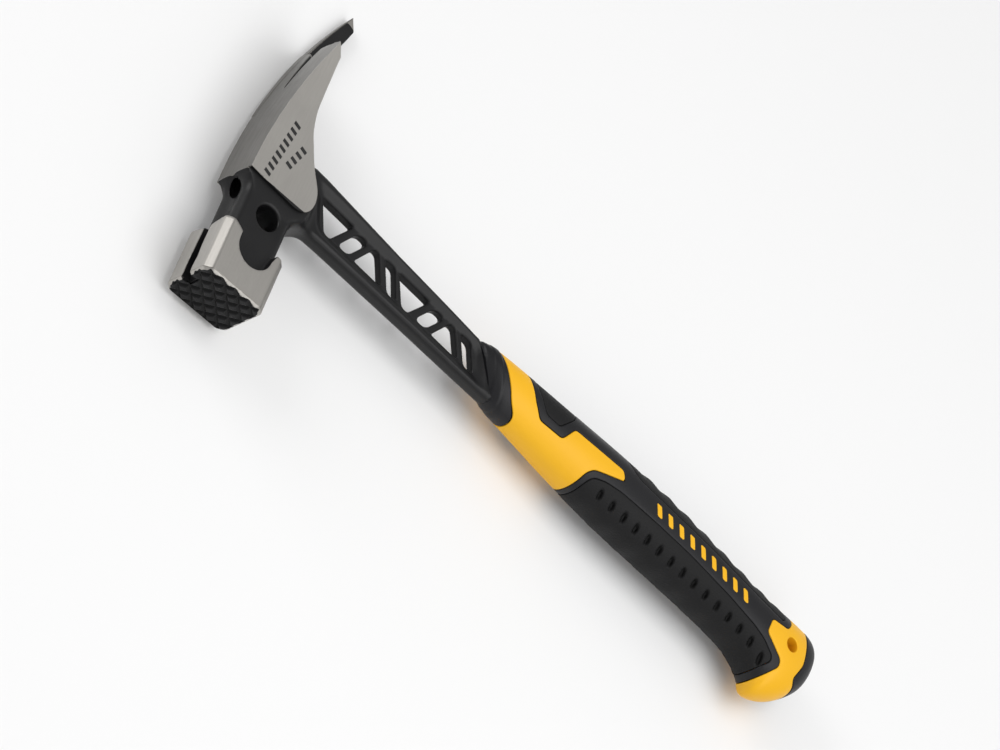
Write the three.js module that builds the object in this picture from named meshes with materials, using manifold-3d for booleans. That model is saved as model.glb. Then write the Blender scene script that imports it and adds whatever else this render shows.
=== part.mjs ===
// A one-piece forged roofer's hammer lying on its side, in millimetres.
// Working axes: +X runs up the handle to the head, +Y out of the striking face (the claw is at -Y),
// +Z is the head's upper cheek. The finished group is shifted so that its origin is the middle of
// the bottom of its bounding box.

import * as THREE from 'three';
import { mergeVertices } from 'three/addons/utils/BufferGeometryUtils.js';
import Module from 'manifold-3d';

const wasm = await Module();
wasm.setup();

// ---- driving dimensions -------------------------------------------------------------------------

const FIT_GAP = 0.3; // clearance between neighbouring solids

// Poll: the block that carries the striking face, at y = 0.
const POLL = { halfHeight: 15.4, halfWidth: 13.8, chamfer: 3, faceBevel: 1.2, back: -26.5 };
// The scoop in each poll cheek, where the neck runs into the poll.
const SCOOP = { floor: 9.6, x: -0.9, y: -21, radius: 8.3, back: -30 };
const NECK = { top: 11.4, bottom: -14.5, halfWidth: 9.6, corner: 4, front: -20, back: -60 };
const NECK_HOLE = { x: -2, y: -40, radius: 5.3 };

// Nail starter: a groove along the top of the poll and a pocket with a magnet in the shoulder.
const GROOVE = { low: -2.3, high: 2.5, floor: 11.8, back: -48 };
const POCKET = { x: 8.6, radius: 4.6, front: -44, back: -61.5 };
const MAGNET = { radius: 4.2, length: 3 };

// Claw: half width and top edge are quadratic in the distance behind the shoulder.
const SHOULDER_Y = -53.5;
const CLAW_REACH = -166;
const SPIKE_INNER = -11.8;

// Shank: an I-shaped bar with two repeats of a four-window pattern in its thin web.
const SHANK = { halfThickness: 4, webHalfThickness: 1.6, lip: 1.6 };
const WINDOWS = { x: -33, y: -65, slope: -0.0717, pitch: 44.6, repeats: 2, shrink: 0.93 };
const TANG = { halfThickness: 2.6, halfDepth: 6, front: -121, tip: -287 };

// Grip: thickness of the outer mouldings over the core, and the lanyard hole.
const SKIN = 2.2;
const LANYARD = { x: -300.2, y: -46.9, radius: 3.2 };
const SECTION_POWER = 2.25; // exponent of the grip's superellipse sections

const STEEL_COLOUR = 0xa5a096;
const BLACK_COLOUR = 0x262628;
const YELLOW_COLOUR = 0xfdbe28;

// ---- solids -------------------------------------------------------------------------------------

function toSolid(geometry) {
  const bare = geometry.index ? geometry.toNonIndexed() : geometry.clone();
  bare.deleteAttribute('normal');
  bare.deleteAttribute('uv');
  const merged = mergeVertices(bare, 1e-4);
  return new wasm.Manifold(new wasm.Mesh({
    numProp: 3,
    vertProperties: new Float32Array(merged.attributes.position.array),
    triVerts: new Uint32Array(merged.index.array),
  }));
}

function toMesh(name, solid, colour, roughness, metalness) {
  const { vertProperties, triVerts, numProp } = solid.getMesh();
  const corners = new Float32Array(triVerts.length * 3);
  triVerts.forEach((vertex, i) => {
    corners.set(vertProperties.subarray(vertex * numProp, vertex * numProp + 3), i * 3);
  });
  const geometry = new THREE.BufferGeometry();
  geometry.setAttribute('position', new THREE.BufferAttribute(corners, 3));
  geometry.computeVertexNormals();
  const mesh = new THREE.Mesh(
    geometry,
    new THREE.MeshStandardMaterial({ color: colour, roughness, metalness }),
  );
  mesh.name = name;
  return mesh;
}

// A plate of the given outline in the XY plane, from z = low to z = high.
function plate(outline, low, high, segments = 6) {
  const options = { depth: high - low, bevelEnabled: false, curveSegments: segments };
  return new THREE.ExtrudeGeometry(outline, options).translate(0, 0, low);
}

// A bar of the given outline, drawn as (z, x), that runs along Y from back to front.
function barAlongY(outline, back, front, segments = 6) {
  const bar = plate(outline, back, front, segments);
  const toWorld = new THREE.Matrix4().makeBasis(
    new THREE.Vector3(0, 0, 1),
    new THREE.Vector3(1, 0, 0),
    new THREE.Vector3(0, 1, 0),
  );
  return bar.applyMatrix4(toWorld);
}

// A bar of the given outline, drawn as (y, z), that runs along X from low to high.
function barAlongX(outline, low, high) {
  const bar = plate(outline, low, high);
  const toWorld = new THREE.Matrix4().makeBasis(
    new THREE.Vector3(0, 1, 0),
    new THREE.Vector3(0, 0, 1),
    new THREE.Vector3(1, 0, 0),
  );
  return bar.applyMatrix4(toWorld);
}

function polygon(points) {
  return new THREE.Shape(points.map(([x, y]) => new THREE.Vector2(x, y)));
}

// A closed outline whose corners [x, y, radius] are rounded.
function roundedOutline(corners) {
  const shape = new THREE.Shape();
  corners.forEach(([x, y, radius], i) => {
    const corner = new THREE.Vector2(x, y);
    const before = corners[(i + corners.length - 1) % corners.length];
    const after = corners[(i + 1) % corners.length];
    const towards = ([px, py]) => new THREE.Vector2(px, py).sub(corner).setLength(radius).add(corner);
    const start = towards(before);
    const end = towards(after);
    if (i === 0) shape.moveTo(start.x, start.y);
    else shape.lineTo(start.x, start.y);
    shape.quadraticCurveTo(corner.x, corner.y, end.x, end.y);
  });
  shape.closePath();
  return shape;
}

function roundedBox(x0, y0, x1, y1, radius) {
  return roundedOutline([[x0, y0, radius], [x1, y0, radius], [x1, y1, radius], [x0, y1, radius]]);
}

function circle(x, y, radius) {
  const shape = new THREE.Shape();
  shape.absarc(x, y, radius, 0, Math.PI * 2);
  return shape;
}

// Moves every edge of a polygon outwards by a distance; the points run anticlockwise.
function grow(points, distance) {
  const count = points.length;
  const lines = points.map(([x, y], i) => {
    const [nextX, nextY] = points[(i + 1) % count];
    const length = Math.hypot(nextX - x, nextY - y);
    const [dx, dy] = [(nextX - x) / length, (nextY - y) / length];
    return { x: x + dy * distance, y: y - dx * distance, dx, dy };
  });
  return lines.map((line, i) => {
    const last = lines[(i + count - 1) % count];
    const cross = last.dx * line.dy - last.dy * line.dx;
    if (Math.abs(cross) < 1e-6) return [line.x, line.y];
    const along = ((line.x - last.x) * line.dy - (line.y - last.y) * line.dx) / cross;
    return [last.x + last.dx * along, last.y + last.dy * along];
  });
}

// ---- the forging --------------------------------------------------------------------------------

function poll() {
  const { halfHeight: h, halfWidth: w, chamfer: c, faceBevel: bevel, back } = POLL;
  const octagon = (inset) => [
    [w - inset, h - c], [w - c, h - inset], [c - w, h - inset], [inset - w, h - c],
    [inset - w, c - h], [c - w, inset - h], [w - c, inset - h], [w - inset, c - h],
  ];
  const ring = (inset, y) => octagon(inset).map(([z, x]) => new THREE.Vector3(x, y, z));
  return toSolid(loft([ring(0, back), ring(0, -bevel), ring(bevel, 0)]));
}

function neck() {
  const { top, bottom, halfWidth, corner, front, back } = NECK;
  return toSolid(barAlongY(roundedBox(-halfWidth, bottom, halfWidth, top, corner), back, front));
}

// The two cheek scoops, each a round-ended slot that opens towards the neck.
function scoops() {
  const { floor, x, y, radius, back } = SCOOP;
  const slot = new THREE.Shape();
  slot.moveTo(x + radius, back);
  slot.lineTo(x + radius, y);
  slot.absarc(x, y, radius, 0, Math.PI);
  slot.lineTo(x - radius, back);
  slot.closePath();
  const upper = toSolid(plate(slot, floor, POLL.halfWidth + 1, 10));
  const lower = toSolid(plate(slot, -POLL.halfWidth - 1, -floor, 10));
  return upper.add(lower);
}

const behindShoulder = (y) => (-54 - y) / 100;

function clawTop(y) {
  const u = behindShoulder(y);
  return 14.2 - 0.16 * u - 19.6 * u * u - 0.5 * u ** 3;
}

function clawHalfWidth(y) {
  const u = behindShoulder(y);
  return 10.9 + 3.3 * u + 4.8 * u * u;
}

// Adds the curved top edge of the claw to an outline, from a far y back towards the shoulder.
function followClawTop(shape, fromY) {
  const step = 6;
  const count = Math.ceil((SHOULDER_Y - fromY) / step) - 1;
  for (let i = count; i > 0; i -= 1) {
    const y = SHOULDER_Y - i * step;
    shape.lineTo(clawTop(y), y);
  }
}

// The head's side outline: shoulder, rounded lower cheek, hollow underside, then the given end.
function headOutline(underside, tipY) {
  const shape = new THREE.Shape();
  shape.moveTo(clawTop(SHOULDER_Y), SHOULDER_Y);
  shape.lineTo(-7.4, -51.6);
  shape.quadraticCurveTo(-16.9, -51.4, -16.8, -60.6);
  shape.quadraticCurveTo(-16, -65.5, -10, -72.5);
  shape.quadraticCurveTo(-3.4, -81.5, -0.6, -94);
  underside.forEach(([x, y]) => shape.lineTo(x, y));
  shape.lineTo(clawTop(tipY), tipY);
  followClawTop(shape, tipY);
  return shape;
}

// Extrudes a side outline between two fractions of the claw's flaring half width.
function flaredPlate(outline, low, high) {
  const geometry = plate(outline, low, high, 8);
  const position = geometry.attributes.position;
  for (let i = 0; i < position.count; i += 1) {
    position.setZ(i, position.getZ(i) * clawHalfWidth(position.getY(i)));
  }
  return toSolid(geometry);
}

// Seen from above, drawn as (y, z): a chisel-ended blade, a nail slot and one long spike.
function clawPlan() {
  return polygon([
    [-45, 20], [-45, -20], [-110, -20], [-131, -16.4], [-161, -16.4], [CLAW_REACH, -13.4],
    [-160, -12.2], [-134.4, SPIKE_INNER], [-130.9, -6.3], [-104.8, -2.3], [-104.8, -1.5],
    [-132.2, -2.1], [-131.5, 4.7], [-129.1, 13], [-126.5, 15.8], [-120, 20],
  ]);
}

function claw() {
  const bladeEnd = [[0.2, -108], [-0.9, -126.4]];
  const spikeEnd = [[-1.5, -112], [-5.2, -130], [-11.8, -151.5], [-13.7, -159.2]];
  const blade = flaredPlate(headOutline(bladeEnd, -132.3), -1, 1);
  const spike = flaredPlate(headOutline(spikeEnd, CLAW_REACH), -1, -0.5);
  const spikeSide = toSolid(plate(roundedBox(-40, CLAW_REACH - 5, 40, -45, 1), -40, SPIKE_INNER));
  const plan = toSolid(barAlongX(clawPlan(), -40, 40));
  return blade.add(spike.intersect(spikeSide)).intersect(plan);
}

// The shank's outline, from the underside of the head to the end that the collar hides.
function shankOutline() {
  const shape = new THREE.Shape();
  shape.moveTo(-8, -79);
  shape.lineTo(-16, -80.9);
  shape.lineTo(-23, -80.3);
  shape.lineTo(-65, -74.4);
  shape.lineTo(-95, -70.9);
  shape.lineTo(-112, -68.6);
  shape.lineTo(-123, -67);
  shape.lineTo(-129, -50.5);
  shape.lineTo(-110, -49.9);
  shape.lineTo(-52, -52.4);
  shape.lineTo(-33, -53);
  shape.quadraticCurveTo(-14.5, -53, -13, -40);
  shape.lineTo(-8, -45);
  shape.closePath();
  return shape;
}

// Window corners as (distance towards the butt, distance towards the face, corner radius),
// measured from the first window's middle: triangle, slanted slot, triangle, slanted slot.
const WINDOW_PATTERN = [
  [[-8.8, -6.2, 1], [-1.6, 6.2, 1], [1.3, 6.2, 1.2], [7.9, -6.2, 2.4]],
  [[6.3, 5.7, 2], [11.3, 5.7, 2.4], [17.4, -5.5, 2], [11.9, -5.5, 2.4]],
  [[15.6, 5.7, 1.6], [21.1, -5.6, 0.9], [23.2, -5.6, 1.2], [30.2, 5.7, 1]],
  [[34.2, 5.7, 1.4], [27.2, -5.6, 1.4], [32.9, -5.6, 2], [39.5, 5.7, 1.6]],
];

function windowPoint([along, across], repeat) {
  const scale = WINDOWS.shrink ** repeat;
  const axis = new THREE.Vector2(-1, -WINDOWS.slope).normalize();
  const distance = along + repeat * WINDOWS.pitch;
  return [
    WINDOWS.x + axis.x * distance + axis.y * across * scale,
    WINDOWS.y + axis.y * distance - axis.x * across * scale,
  ];
}

function windows() {
  const cutters = [];
  for (let repeat = 0; repeat < WINDOWS.repeats; repeat += 1) {
    WINDOW_PATTERN.forEach((corners) => {
      const outline = roundedOutline(
        corners.map((corner) => [...windowPoint(corner, repeat), corner[2]]),
      );
      cutters.push(toSolid(plate(outline, -6, 6, 4)));
    });
  }
  return cutters.reduce((all, cutter) => all.add(cutter));
}

// The shallow panels on both sides of the shank, which leave its edges standing as ribs.
function shankPanels() {
  const { halfThickness, webHalfThickness, lip } = SHANK;
  const reach = 6.2 + lip;
  const corners = [
    [-12.3, -reach], [80.4, -reach], [88.6, reach], [-4.2, reach],
  ].map(([along, across]) => {
    const narrowed = across * THREE.MathUtils.mapLinear(along, -12, 88, 1, 0.88);
    return [...windowPoint([along, narrowed], 0), 3];
  });
  const panel = roundedOutline(corners);
  const upper = toSolid(plate(panel, webHalfThickness, halfThickness + 1, 4));
  const lower = toSolid(plate(panel, -halfThickness - 1, -webHalfThickness, 4));
  return upper.add(lower);
}

function tangOutline(extra) {
  const { halfDepth, front, tip } = TANG;
  const d = halfDepth + extra;
  return roundedOutline([
    [front + extra, -59 - d, 1], [tip - extra, -48 - d * 0.8, 3],
    [tip - extra, -48 + d * 0.8, 3], [front + extra, -59 + d, 1],
  ]);
}

function tang(extra = 0) {
  const { halfThickness } = TANG;
  return toSolid(plate(tangOutline(extra), -halfThickness - extra, halfThickness + extra));
}

function shank(extra = 0) {
  const { halfThickness } = SHANK;
  const low = -halfThickness - extra;
  const bar = toSolid(plate(shankOutline(), low, -low));
  if (extra > 0) return bar;
  return bar.subtract(shankPanels()).subtract(windows());
}

function nailStarter() {
  const { low, high, floor, back } = GROOVE;
  const groove = toSolid(barAlongY(polygon([[low, floor], [high, floor], [high, 20], [low, 20]]), back, 2));
  const bore = circle(0, POCKET.x, POCKET.radius);
  const pocket = toSolid(barAlongY(bore, POCKET.back, POCKET.front, 12));
  return groove.add(pocket);
}

function forging() {
  const hole = toSolid(plate(circle(NECK_HOLE.x, NECK_HOLE.y, NECK_HOLE.radius), -20, 20, 14));
  return poll()
    .subtract(scoops())
    .add(neck())
    .add(claw())
    .add(shank())
    .add(tang())
    .subtract(hole)
    .subtract(nailStarter());
}

function magnet() {
  const { radius, length } = MAGNET;
  const start = POCKET.back + FIT_GAP;
  return toSolid(barAlongY(circle(0, POCKET.x, radius), start, start + length, 12));
}

// ---- the grip -----------------------------------------------------------------------------------

// Sections of the grip: a point on its back edge, one on its belly edge, and half its thickness.
const SECTIONS = [
  { back: [-112.5, -66.8], belly: [-122, -50], half: 5.2 },
  { back: [-115, -69.1], belly: [-124, -48.4], half: 7.2 },
  { back: [-119, -70.1], belly: [-128.5, -47.9], half: 8.6 },
  { back: [-124, -70.1], belly: [-134, -47.5], half: 9.3 },
  { back: [-140, -69.9], belly: [-148, -45], half: 10.6 },
  { back: [-165, -69.9], belly: [-172, -41.8], half: 11.9 },
  { back: [-195, -69.8], belly: [-200, -38.6], half: 12.7 },
  { back: [-225, -68.4], belly: [-228, -37.4], half: 12.9 },
  { back: [-255, -65.5], belly: [-256, -36.2], half: 12.7 },
  { back: [-277, -63], belly: [-277, -34.4], half: 12.6 },
  { back: [-292, -62.2], belly: [-286, -30.8], half: 12.6 },
  { back: [-304, -62.2], belly: [-291.5, -25.4], half: 12.4 },
  { back: [-311.5, -62.4], belly: [-294.8, -21.8], half: 12 },
  { back: [-316.8, -60.6], belly: [-300.5, -21.8], half: 11 },
  { back: [-319.6, -56.6], belly: [-307.8, -26.8], half: 9 },
  { back: [-320.2, -51], belly: [-314.3, -35], half: 5.6 },
  { back: [-319.6, -44], belly: [-318.8, -42], half: 0.6 },
];
const CORE_START = 3; // index of the section where the core begins
const CORE_END = 12.4;

// Joins rings of points, each running the same way round, into one closed skin with flat ends.
function loft(rings) {
  const corners = [];
  const count = rings[0].length;
  const push = (...points) => points.forEach((point) => corners.push(point.x, point.y, point.z));
  for (let i = 0; i + 1 < rings.length; i += 1) {
    for (let j = 0; j < count; j += 1) {
      const k = (j + 1) % count;
      push(rings[i][j], rings[i][k], rings[i + 1][k]);
      push(rings[i][j], rings[i + 1][k], rings[i + 1][j]);
    }
  }
  const middle = (ring) => ring
    .reduce((sum, point) => sum.add(point), new THREE.Vector3())
    .divideScalar(count);
  const first = rings[0];
  const last = rings[rings.length - 1];
  for (let j = 0; j < count; j += 1) {
    const k = (j + 1) % count;
    push(first[k], first[j], middle(first));
    push(last[j], last[k], middle(last));
  }
  const geometry = new THREE.BufferGeometry();
  geometry.setAttribute('position', new THREE.Float32BufferAttribute(corners, 3));
  return geometry;
}

// The grip between two section indices, with its surface moved inwards by an inset.
function gripBody(inset, from, to) {
  const around = 28;
  const stepsPerSection = 2;
  const backs = new THREE.CatmullRomCurve3(
    SECTIONS.map(({ back, half }) => new THREE.Vector3(...back, half)),
    false,
    'catmullrom',
  );
  const bellies = new THREE.CatmullRomCurve3(
    SECTIONS.map(({ belly, half }) => new THREE.Vector3(...belly, half)),
    false,
    'catmullrom',
  );
  const rings = [];
  const steps = Math.round((to - from) * stepsPerSection);
  for (let i = 0; i <= steps; i += 1) {
    const t = THREE.MathUtils.lerp(from, to, i / steps) / (SECTIONS.length - 1);
    const back = backs.getPoint(t);
    const belly = bellies.getPoint(t);
    const half = Math.max(back.z - inset, 0.4);
    const centre = back.clone().add(belly).multiplyScalar(0.5).setZ(0);
    const reach = belly.clone().sub(back).multiplyScalar(0.5).setZ(0);
    reach.setLength(Math.max(reach.length() - inset, 0.4));
    const power = 2 / SECTION_POWER;
    rings.push(Array.from({ length: around }, (_, j) => {
      const angle = (-j / around) * Math.PI * 2;
      const [c, s] = [Math.cos(angle), Math.sin(angle)];
      const across = Math.sign(c) * Math.abs(c) ** power;
      const up = Math.sign(s) * Math.abs(s) ** power * half;
      return centre.clone().addScaledVector(reach, across).setZ(up);
    }));
  }
  return toSolid(loft(rings));
}

// Outlines on the grip, seen from above and anticlockwise; each is cut through its full thickness.
const COLLAR_REGION = [[-100, -30], [-100, -90], [-119.8, -90], [-119.8, -74], [-124.2, -66.1],
  [-134.1, -50.8], [-139.5, -46.4], [-141, -42], [-141, -30]];
const FRAME_REGION = [[-176.5, -30], [-176.8, -41.1], [-177.6, -46.2], [-180, -49.2], [-195.3, -54.1],
  [-193, -58.5], [-165, -58.8], [-161, -51.2], [-148.6, -51.7], [-143.8, -57.2], [-139.6, -64.5],
  [-136, -72], [-136, -90], [-299, -90], [-299, -64], [-297.9, -56], [-295.9, -52],
  [-286.4, -50.8], [-285.9, -43.8], [-296.9, -37.2], [-297.7, -33.9], [-292, -26], [-289.5, -22],
  [-289.5, -15], [-270, -10]];
const PALM_REGION = [[-180.2, -30], [-179.6, -42.6], [-181.4, -46.4], [-187.3, -48.2],
  [-196, -49], [-216.8, -48.5], [-238, -47.4], [-262.7, -44.8], [-279.3, -42.1], [-286.1, -40],
  [-292.4, -36.2], [-293.3, -34], [-289.5, -28.6], [-286, -20], [-270, -10]];
const SPINE_REGION = [[-293, -53.8], [-245.7, -58], [-212.5, -59.8], [-201.5, -60.9], [-197.4, -63.9],
  [-193, -72], [-193, -90], [-295.2, -90], [-295.2, -64]];
const THUMB_REGION = [[-163.4, -62.6], [-157.8, -55], [-150.4, -55.6], [-144, -63], [-141, -70],
  [-141, -90], [-166, -90], [-166, -70]];
const BUMPER_REGION = [[-308.6, -90], [-308.4, -57], [-310, -43], [-307.6, -35.2], [-310.9, -32.6],
  [-313.5, -22], [-340, -22], [-340, -90]];

const throughRegion = (points) => {
  const shape = polygon(points);
  return toSolid(plate(shape, -40, 40));
};

function regionSolid(points, extra = 0) {
  const area = THREE.ShapeUtils.area(points.map(([x, y]) => new THREE.Vector2(x, y)));
  const anticlockwise = area > 0 ? points : [...points].reverse();
  return throughRegion(extra === 0 ? anticlockwise : grow(anticlockwise, extra));
}

function lanyardHole() {
  return toSolid(plate(circle(LANYARD.x, LANYARD.y, LANYARD.radius), -40, 40, 12));
}

const outer = gripBody(0, 0, SECTIONS.length - 1);
const coreHollow = gripBody(SKIN - FIT_GAP, CORE_START, CORE_END + 0.1);
const skin = outer.subtract(coreHollow).subtract(tang(FIT_GAP));

function gripCore() {
  const cover = [COLLAR_REGION, FRAME_REGION, BUMPER_REGION]
    .map((region) => regionSolid(region, FIT_GAP))
    .reduce((all, solid) => all.add(solid));
  return outer
    .subtract(cover)
    .add(gripBody(SKIN, CORE_START, CORE_END))
    .subtract(tang(FIT_GAP))
    .subtract(shank(FIT_GAP))
    .subtract(lanyardHole());
}

function collar() {
  return outer
    .intersect(regionSolid(COLLAR_REGION))
    .subtract(coreHollow)
    .subtract(shank(FIT_GAP))
    .subtract(tang(FIT_GAP));
}

function gripFrame() {
  return skin
    .intersect(regionSolid(FRAME_REGION))
    .subtract(regionSolid(PALM_REGION, FIT_GAP))
    .subtract(regionSolid(SPINE_REGION, FIT_GAP))
    .subtract(regionSolid(THUMB_REGION, FIT_GAP));
}

const palmPad = () => skin.intersect(regionSolid(PALM_REGION));
const spinePad = () => skin.intersect(regionSolid(SPINE_REGION));
const thumbPad = () => skin.intersect(regionSolid(THUMB_REGION));
const buttBumper = () => skin.intersect(regionSolid(BUMPER_REGION)).subtract(lanyardHole());

// ---- assembly -----------------------------------------------------------------------------------

const hammer = new THREE.Group();
hammer.add(
  toMesh('forged_body', forging(), STEEL_COLOUR, 0.4, 0.9),
  toMesh('nail_magnet', magnet(), STEEL_COLOUR, 0.3, 1),
  toMesh('grip_core', gripCore(), YELLOW_COLOUR, 0.5, 0),
  toMesh('front_collar', collar(), BLACK_COLOUR, 0.6, 0),
  toMesh('grip_frame', gripFrame(), BLACK_COLOUR, 0.6, 0),
  toMesh('palm_pad', palmPad(), BLACK_COLOUR, 0.8, 0),
  toMesh('spine_pad', spinePad(), BLACK_COLOUR, 0.8, 0),
  toMesh('thumb_pad', thumbPad(), BLACK_COLOUR, 0.8, 0),
  toMesh('butt_bumper', buttBumper(), BLACK_COLOUR, 0.7, 0),
);

const box = new THREE.Box3().setFromObject(hammer);
const middle = box.getCenter(new THREE.Vector3());
hammer.position.set(-middle.x, -middle.y, -box.min.z);

const part = new THREE.Group();
part.add(hammer);

export default part;
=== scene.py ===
"""A one-piece forged roofer's hammer, lying on its side.

Shapes are worked out in the hammer's working frame, in millimetres: the origin is the middle of the
striking face, +X runs up the handle to the head, +Y out of the striking face, and +Z out of the upper
cheek. ``Bench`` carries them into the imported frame, in metres.
"""
import logging
import math
from dataclasses import dataclass
from enum import Enum
from typing import Callable

import bpy
import numpy as np
from mathutils import Matrix, Vector


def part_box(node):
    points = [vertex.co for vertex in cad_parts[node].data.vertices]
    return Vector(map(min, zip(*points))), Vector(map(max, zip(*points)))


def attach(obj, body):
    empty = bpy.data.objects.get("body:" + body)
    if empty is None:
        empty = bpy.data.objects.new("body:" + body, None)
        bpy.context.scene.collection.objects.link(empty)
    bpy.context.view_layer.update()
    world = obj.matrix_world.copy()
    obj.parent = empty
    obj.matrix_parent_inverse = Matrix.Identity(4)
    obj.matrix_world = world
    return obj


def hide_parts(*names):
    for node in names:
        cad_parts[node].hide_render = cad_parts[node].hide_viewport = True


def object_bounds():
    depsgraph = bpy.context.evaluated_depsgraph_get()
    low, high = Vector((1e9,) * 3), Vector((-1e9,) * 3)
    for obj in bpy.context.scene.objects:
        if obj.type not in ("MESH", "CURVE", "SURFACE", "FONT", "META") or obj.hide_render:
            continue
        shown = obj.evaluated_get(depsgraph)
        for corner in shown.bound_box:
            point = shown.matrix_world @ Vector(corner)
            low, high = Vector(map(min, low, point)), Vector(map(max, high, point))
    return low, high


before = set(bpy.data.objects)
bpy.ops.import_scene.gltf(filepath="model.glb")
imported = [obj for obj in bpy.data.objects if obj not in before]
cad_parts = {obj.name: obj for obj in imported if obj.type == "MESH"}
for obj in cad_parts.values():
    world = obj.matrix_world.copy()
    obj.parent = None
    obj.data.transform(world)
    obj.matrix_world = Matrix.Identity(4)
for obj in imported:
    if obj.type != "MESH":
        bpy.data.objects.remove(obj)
CAD_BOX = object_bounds()

Array = np.ndarray
Field = Callable[[Array, Array, Array], Array]
Level = Callable[[Array, Array], Array]
Corners = list[tuple[float, float]]
LOG = logging.getLogger("hammer")
ROOT = "root"
FIT_GAP = 0.14  # parting gap between neighbouring mouldings, in millimetres
CRISP_EDGE = math.radians(34)  # edges that turn more than this are shaded sharp
WELD_STEP = 1e-3  # points closer than this, in millimetres, are one point
TINY = 1e-9
BUMP_DEPTH = 0.0002  # depth of every surface grain, in metres


class Slot(Enum):
    """The record's material slots."""

    FORGED_STEEL = "forged_steel"
    BLACK_COATING = "black_coating"
    YELLOW_CORE = "yellow_core"
    BLACK_FRAME = "black_frame"
    SOFT_RUBBER = "soft_rubber"


# ---- field arithmetic ------------------------------------------------------------------------------


def smooth_union(a: Array, b: Array, blend: float) -> Array:
    """Joins two distance fields with a rounded inner corner.

    The result is the smaller field less a parabola that fades out where they differ by the blend.

    Args:
        a: The first field, negative inside.
        b: The second field.
        blend: How far from the corner the fillet starts.

    Returns:
        The joined field.
    """
    closeness = np.maximum(blend - np.abs(a - b), 0) / blend
    return np.minimum(a, b) - closeness * closeness * blend / 4


def smooth_meet(a: Array, b: Array, blend: float) -> Array:
    """Keeps what is inside both fields, with a rounded outer corner that starts at the blend."""
    return -smooth_union(-a, -b, blend)


def smooth_cut(a: Array, cutter: Array, blend: float) -> Array:
    """Takes the cutter out of a field and rounds the rim that is left."""
    return smooth_meet(a, -cutter, blend)


def rounded_rectangle(u: Array, v: Array, half_u: float, half_v: float, corner: float) -> Array:
    """Distance to a rectangle with round corners: the distance to a smaller one, less the radius."""
    du = np.abs(u) - half_u + corner
    dv = np.abs(v) - half_v + corner
    outside = np.hypot(np.maximum(du, 0), np.maximum(dv, 0))
    return outside + np.minimum(np.maximum(du, dv), 0) - corner


def convex_distance(u: Array, v: Array, corners: Array, blend: float) -> Array:
    """Distance to a convex outline: the largest of its edges' half-plane distances, rounded.

    Args:
        u: First coordinate of the points.
        v: Second coordinate of the points.
        corners: The outline's corners, one row each, anticlockwise.
        blend: How far from a corner its rounding starts.

    Returns:
        The distance, negative inside.
    """
    result = None
    for start, end in zip(corners, np.roll(corners, -1, axis=0)):
        along = (end - start) / np.linalg.norm(end - start)
        edge = (u - start[0]) * along[1] - (v - start[1]) * along[0]
        result = edge if result is None else smooth_meet(result, edge, blend)
    return result


def outline_distance(u: Array, v: Array, outline: Array) -> Array:
    """Signed distance to any closed outline, positive inside.

    The size is the distance to the nearest edge, and the sign is the parity of the edges that a ray
    from the point crosses.

    Args:
        u: First coordinate of the points.
        v: Second coordinate of the points.
        outline: The outline's points, one row each.

    Returns:
        The distance, positive inside.
    """
    nearest = np.full(np.broadcast(u, v).shape, np.inf)
    inside = np.zeros(nearest.shape, bool)
    for (u0, v0), (u1, v1) in zip(outline, np.roll(outline, -1, axis=0)):
        du, dv = u1 - u0, v1 - v0
        share = np.clip(((u - u0) * du + (v - v0) * dv) / (du * du + dv * dv), 0, 1)
        nearest = np.minimum(nearest, np.hypot(u - u0 - share * du, v - v0 - share * dv))
        if dv != 0:
            crosses = ((v0 > v) != (v1 > v)) & (u < u0 + (v - v0) * du / dv)
            inside ^= crosses
    return np.where(inside, nearest, -nearest)


def round_corners(corners: Corners, radius: float, steps: int = 5) -> Array:
    """Rounds an outline's corners with quadratic arcs.

    Each corner becomes a curve from the point at the radius before it to the point at the radius
    after it, pulled towards the corner. The radius shrinks to fit short edges.

    Args:
        corners: The outline's corners in order.
        radius: How far from a corner its curve starts.
        steps: Points on each curve, less one.

    Returns:
        The rounded outline's points, one row each.
    """
    points = np.array(corners, float)
    before = np.roll(points, 1, axis=0) - points
    after = np.roll(points, -1, axis=0) - points
    reach_before = np.linalg.norm(before, axis=1, keepdims=True)
    reach_after = np.linalg.norm(after, axis=1, keepdims=True)
    fit = np.minimum(radius, 0.48 * np.minimum(reach_before, reach_after))
    start = points + before / reach_before * fit
    end = points + after / reach_after * fit
    t = np.linspace(0, 1, steps + 1)[None, :, None]
    curve = (1 - t) ** 2 * start[:, None] + 2 * t * (1 - t) * points[:, None] + t**2 * end[:, None]
    return curve.reshape(-1, 2)


def catmull_rom(knots: Array, t: Array) -> Array:
    """Points on the curve through the knots, one knot per unit of t, with mirrored end tangents."""
    count = len(knots)
    padded = np.vstack([2 * knots[0] - knots[1], knots, 2 * knots[-1] - knots[-2]])
    index = np.clip(np.floor(t).astype(int), 0, count - 2)
    s = (t - index)[:, None]
    p0, p1, p2, p3 = (padded[index + k] for k in range(4))
    slope0, slope1 = (p2 - p0) / 2, (p3 - p1) / 2
    cubic = 2 * p1 - 2 * p2 + slope0 + slope1
    square = -3 * p1 + 3 * p2 - 2 * slope0 - slope1
    return ((cubic * s + square) * s + slope0) * s + p1


# ---- meshes ----------------------------------------------------------------------------------------


@dataclass
class Surface:
    """Points with faces: each face array holds faces of one corner count.

    The tone is one number per point that a material may read.
    """

    points: Array
    faces: list[Array]
    tone: Array | None = None

    def joined(self, other: "Surface") -> "Surface":
        """This surface and another one in a single list of points."""
        moved = [group + len(self.points) for group in other.faces]
        return Surface(np.vstack([self.points, other.points]), self.faces + moved)


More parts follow.
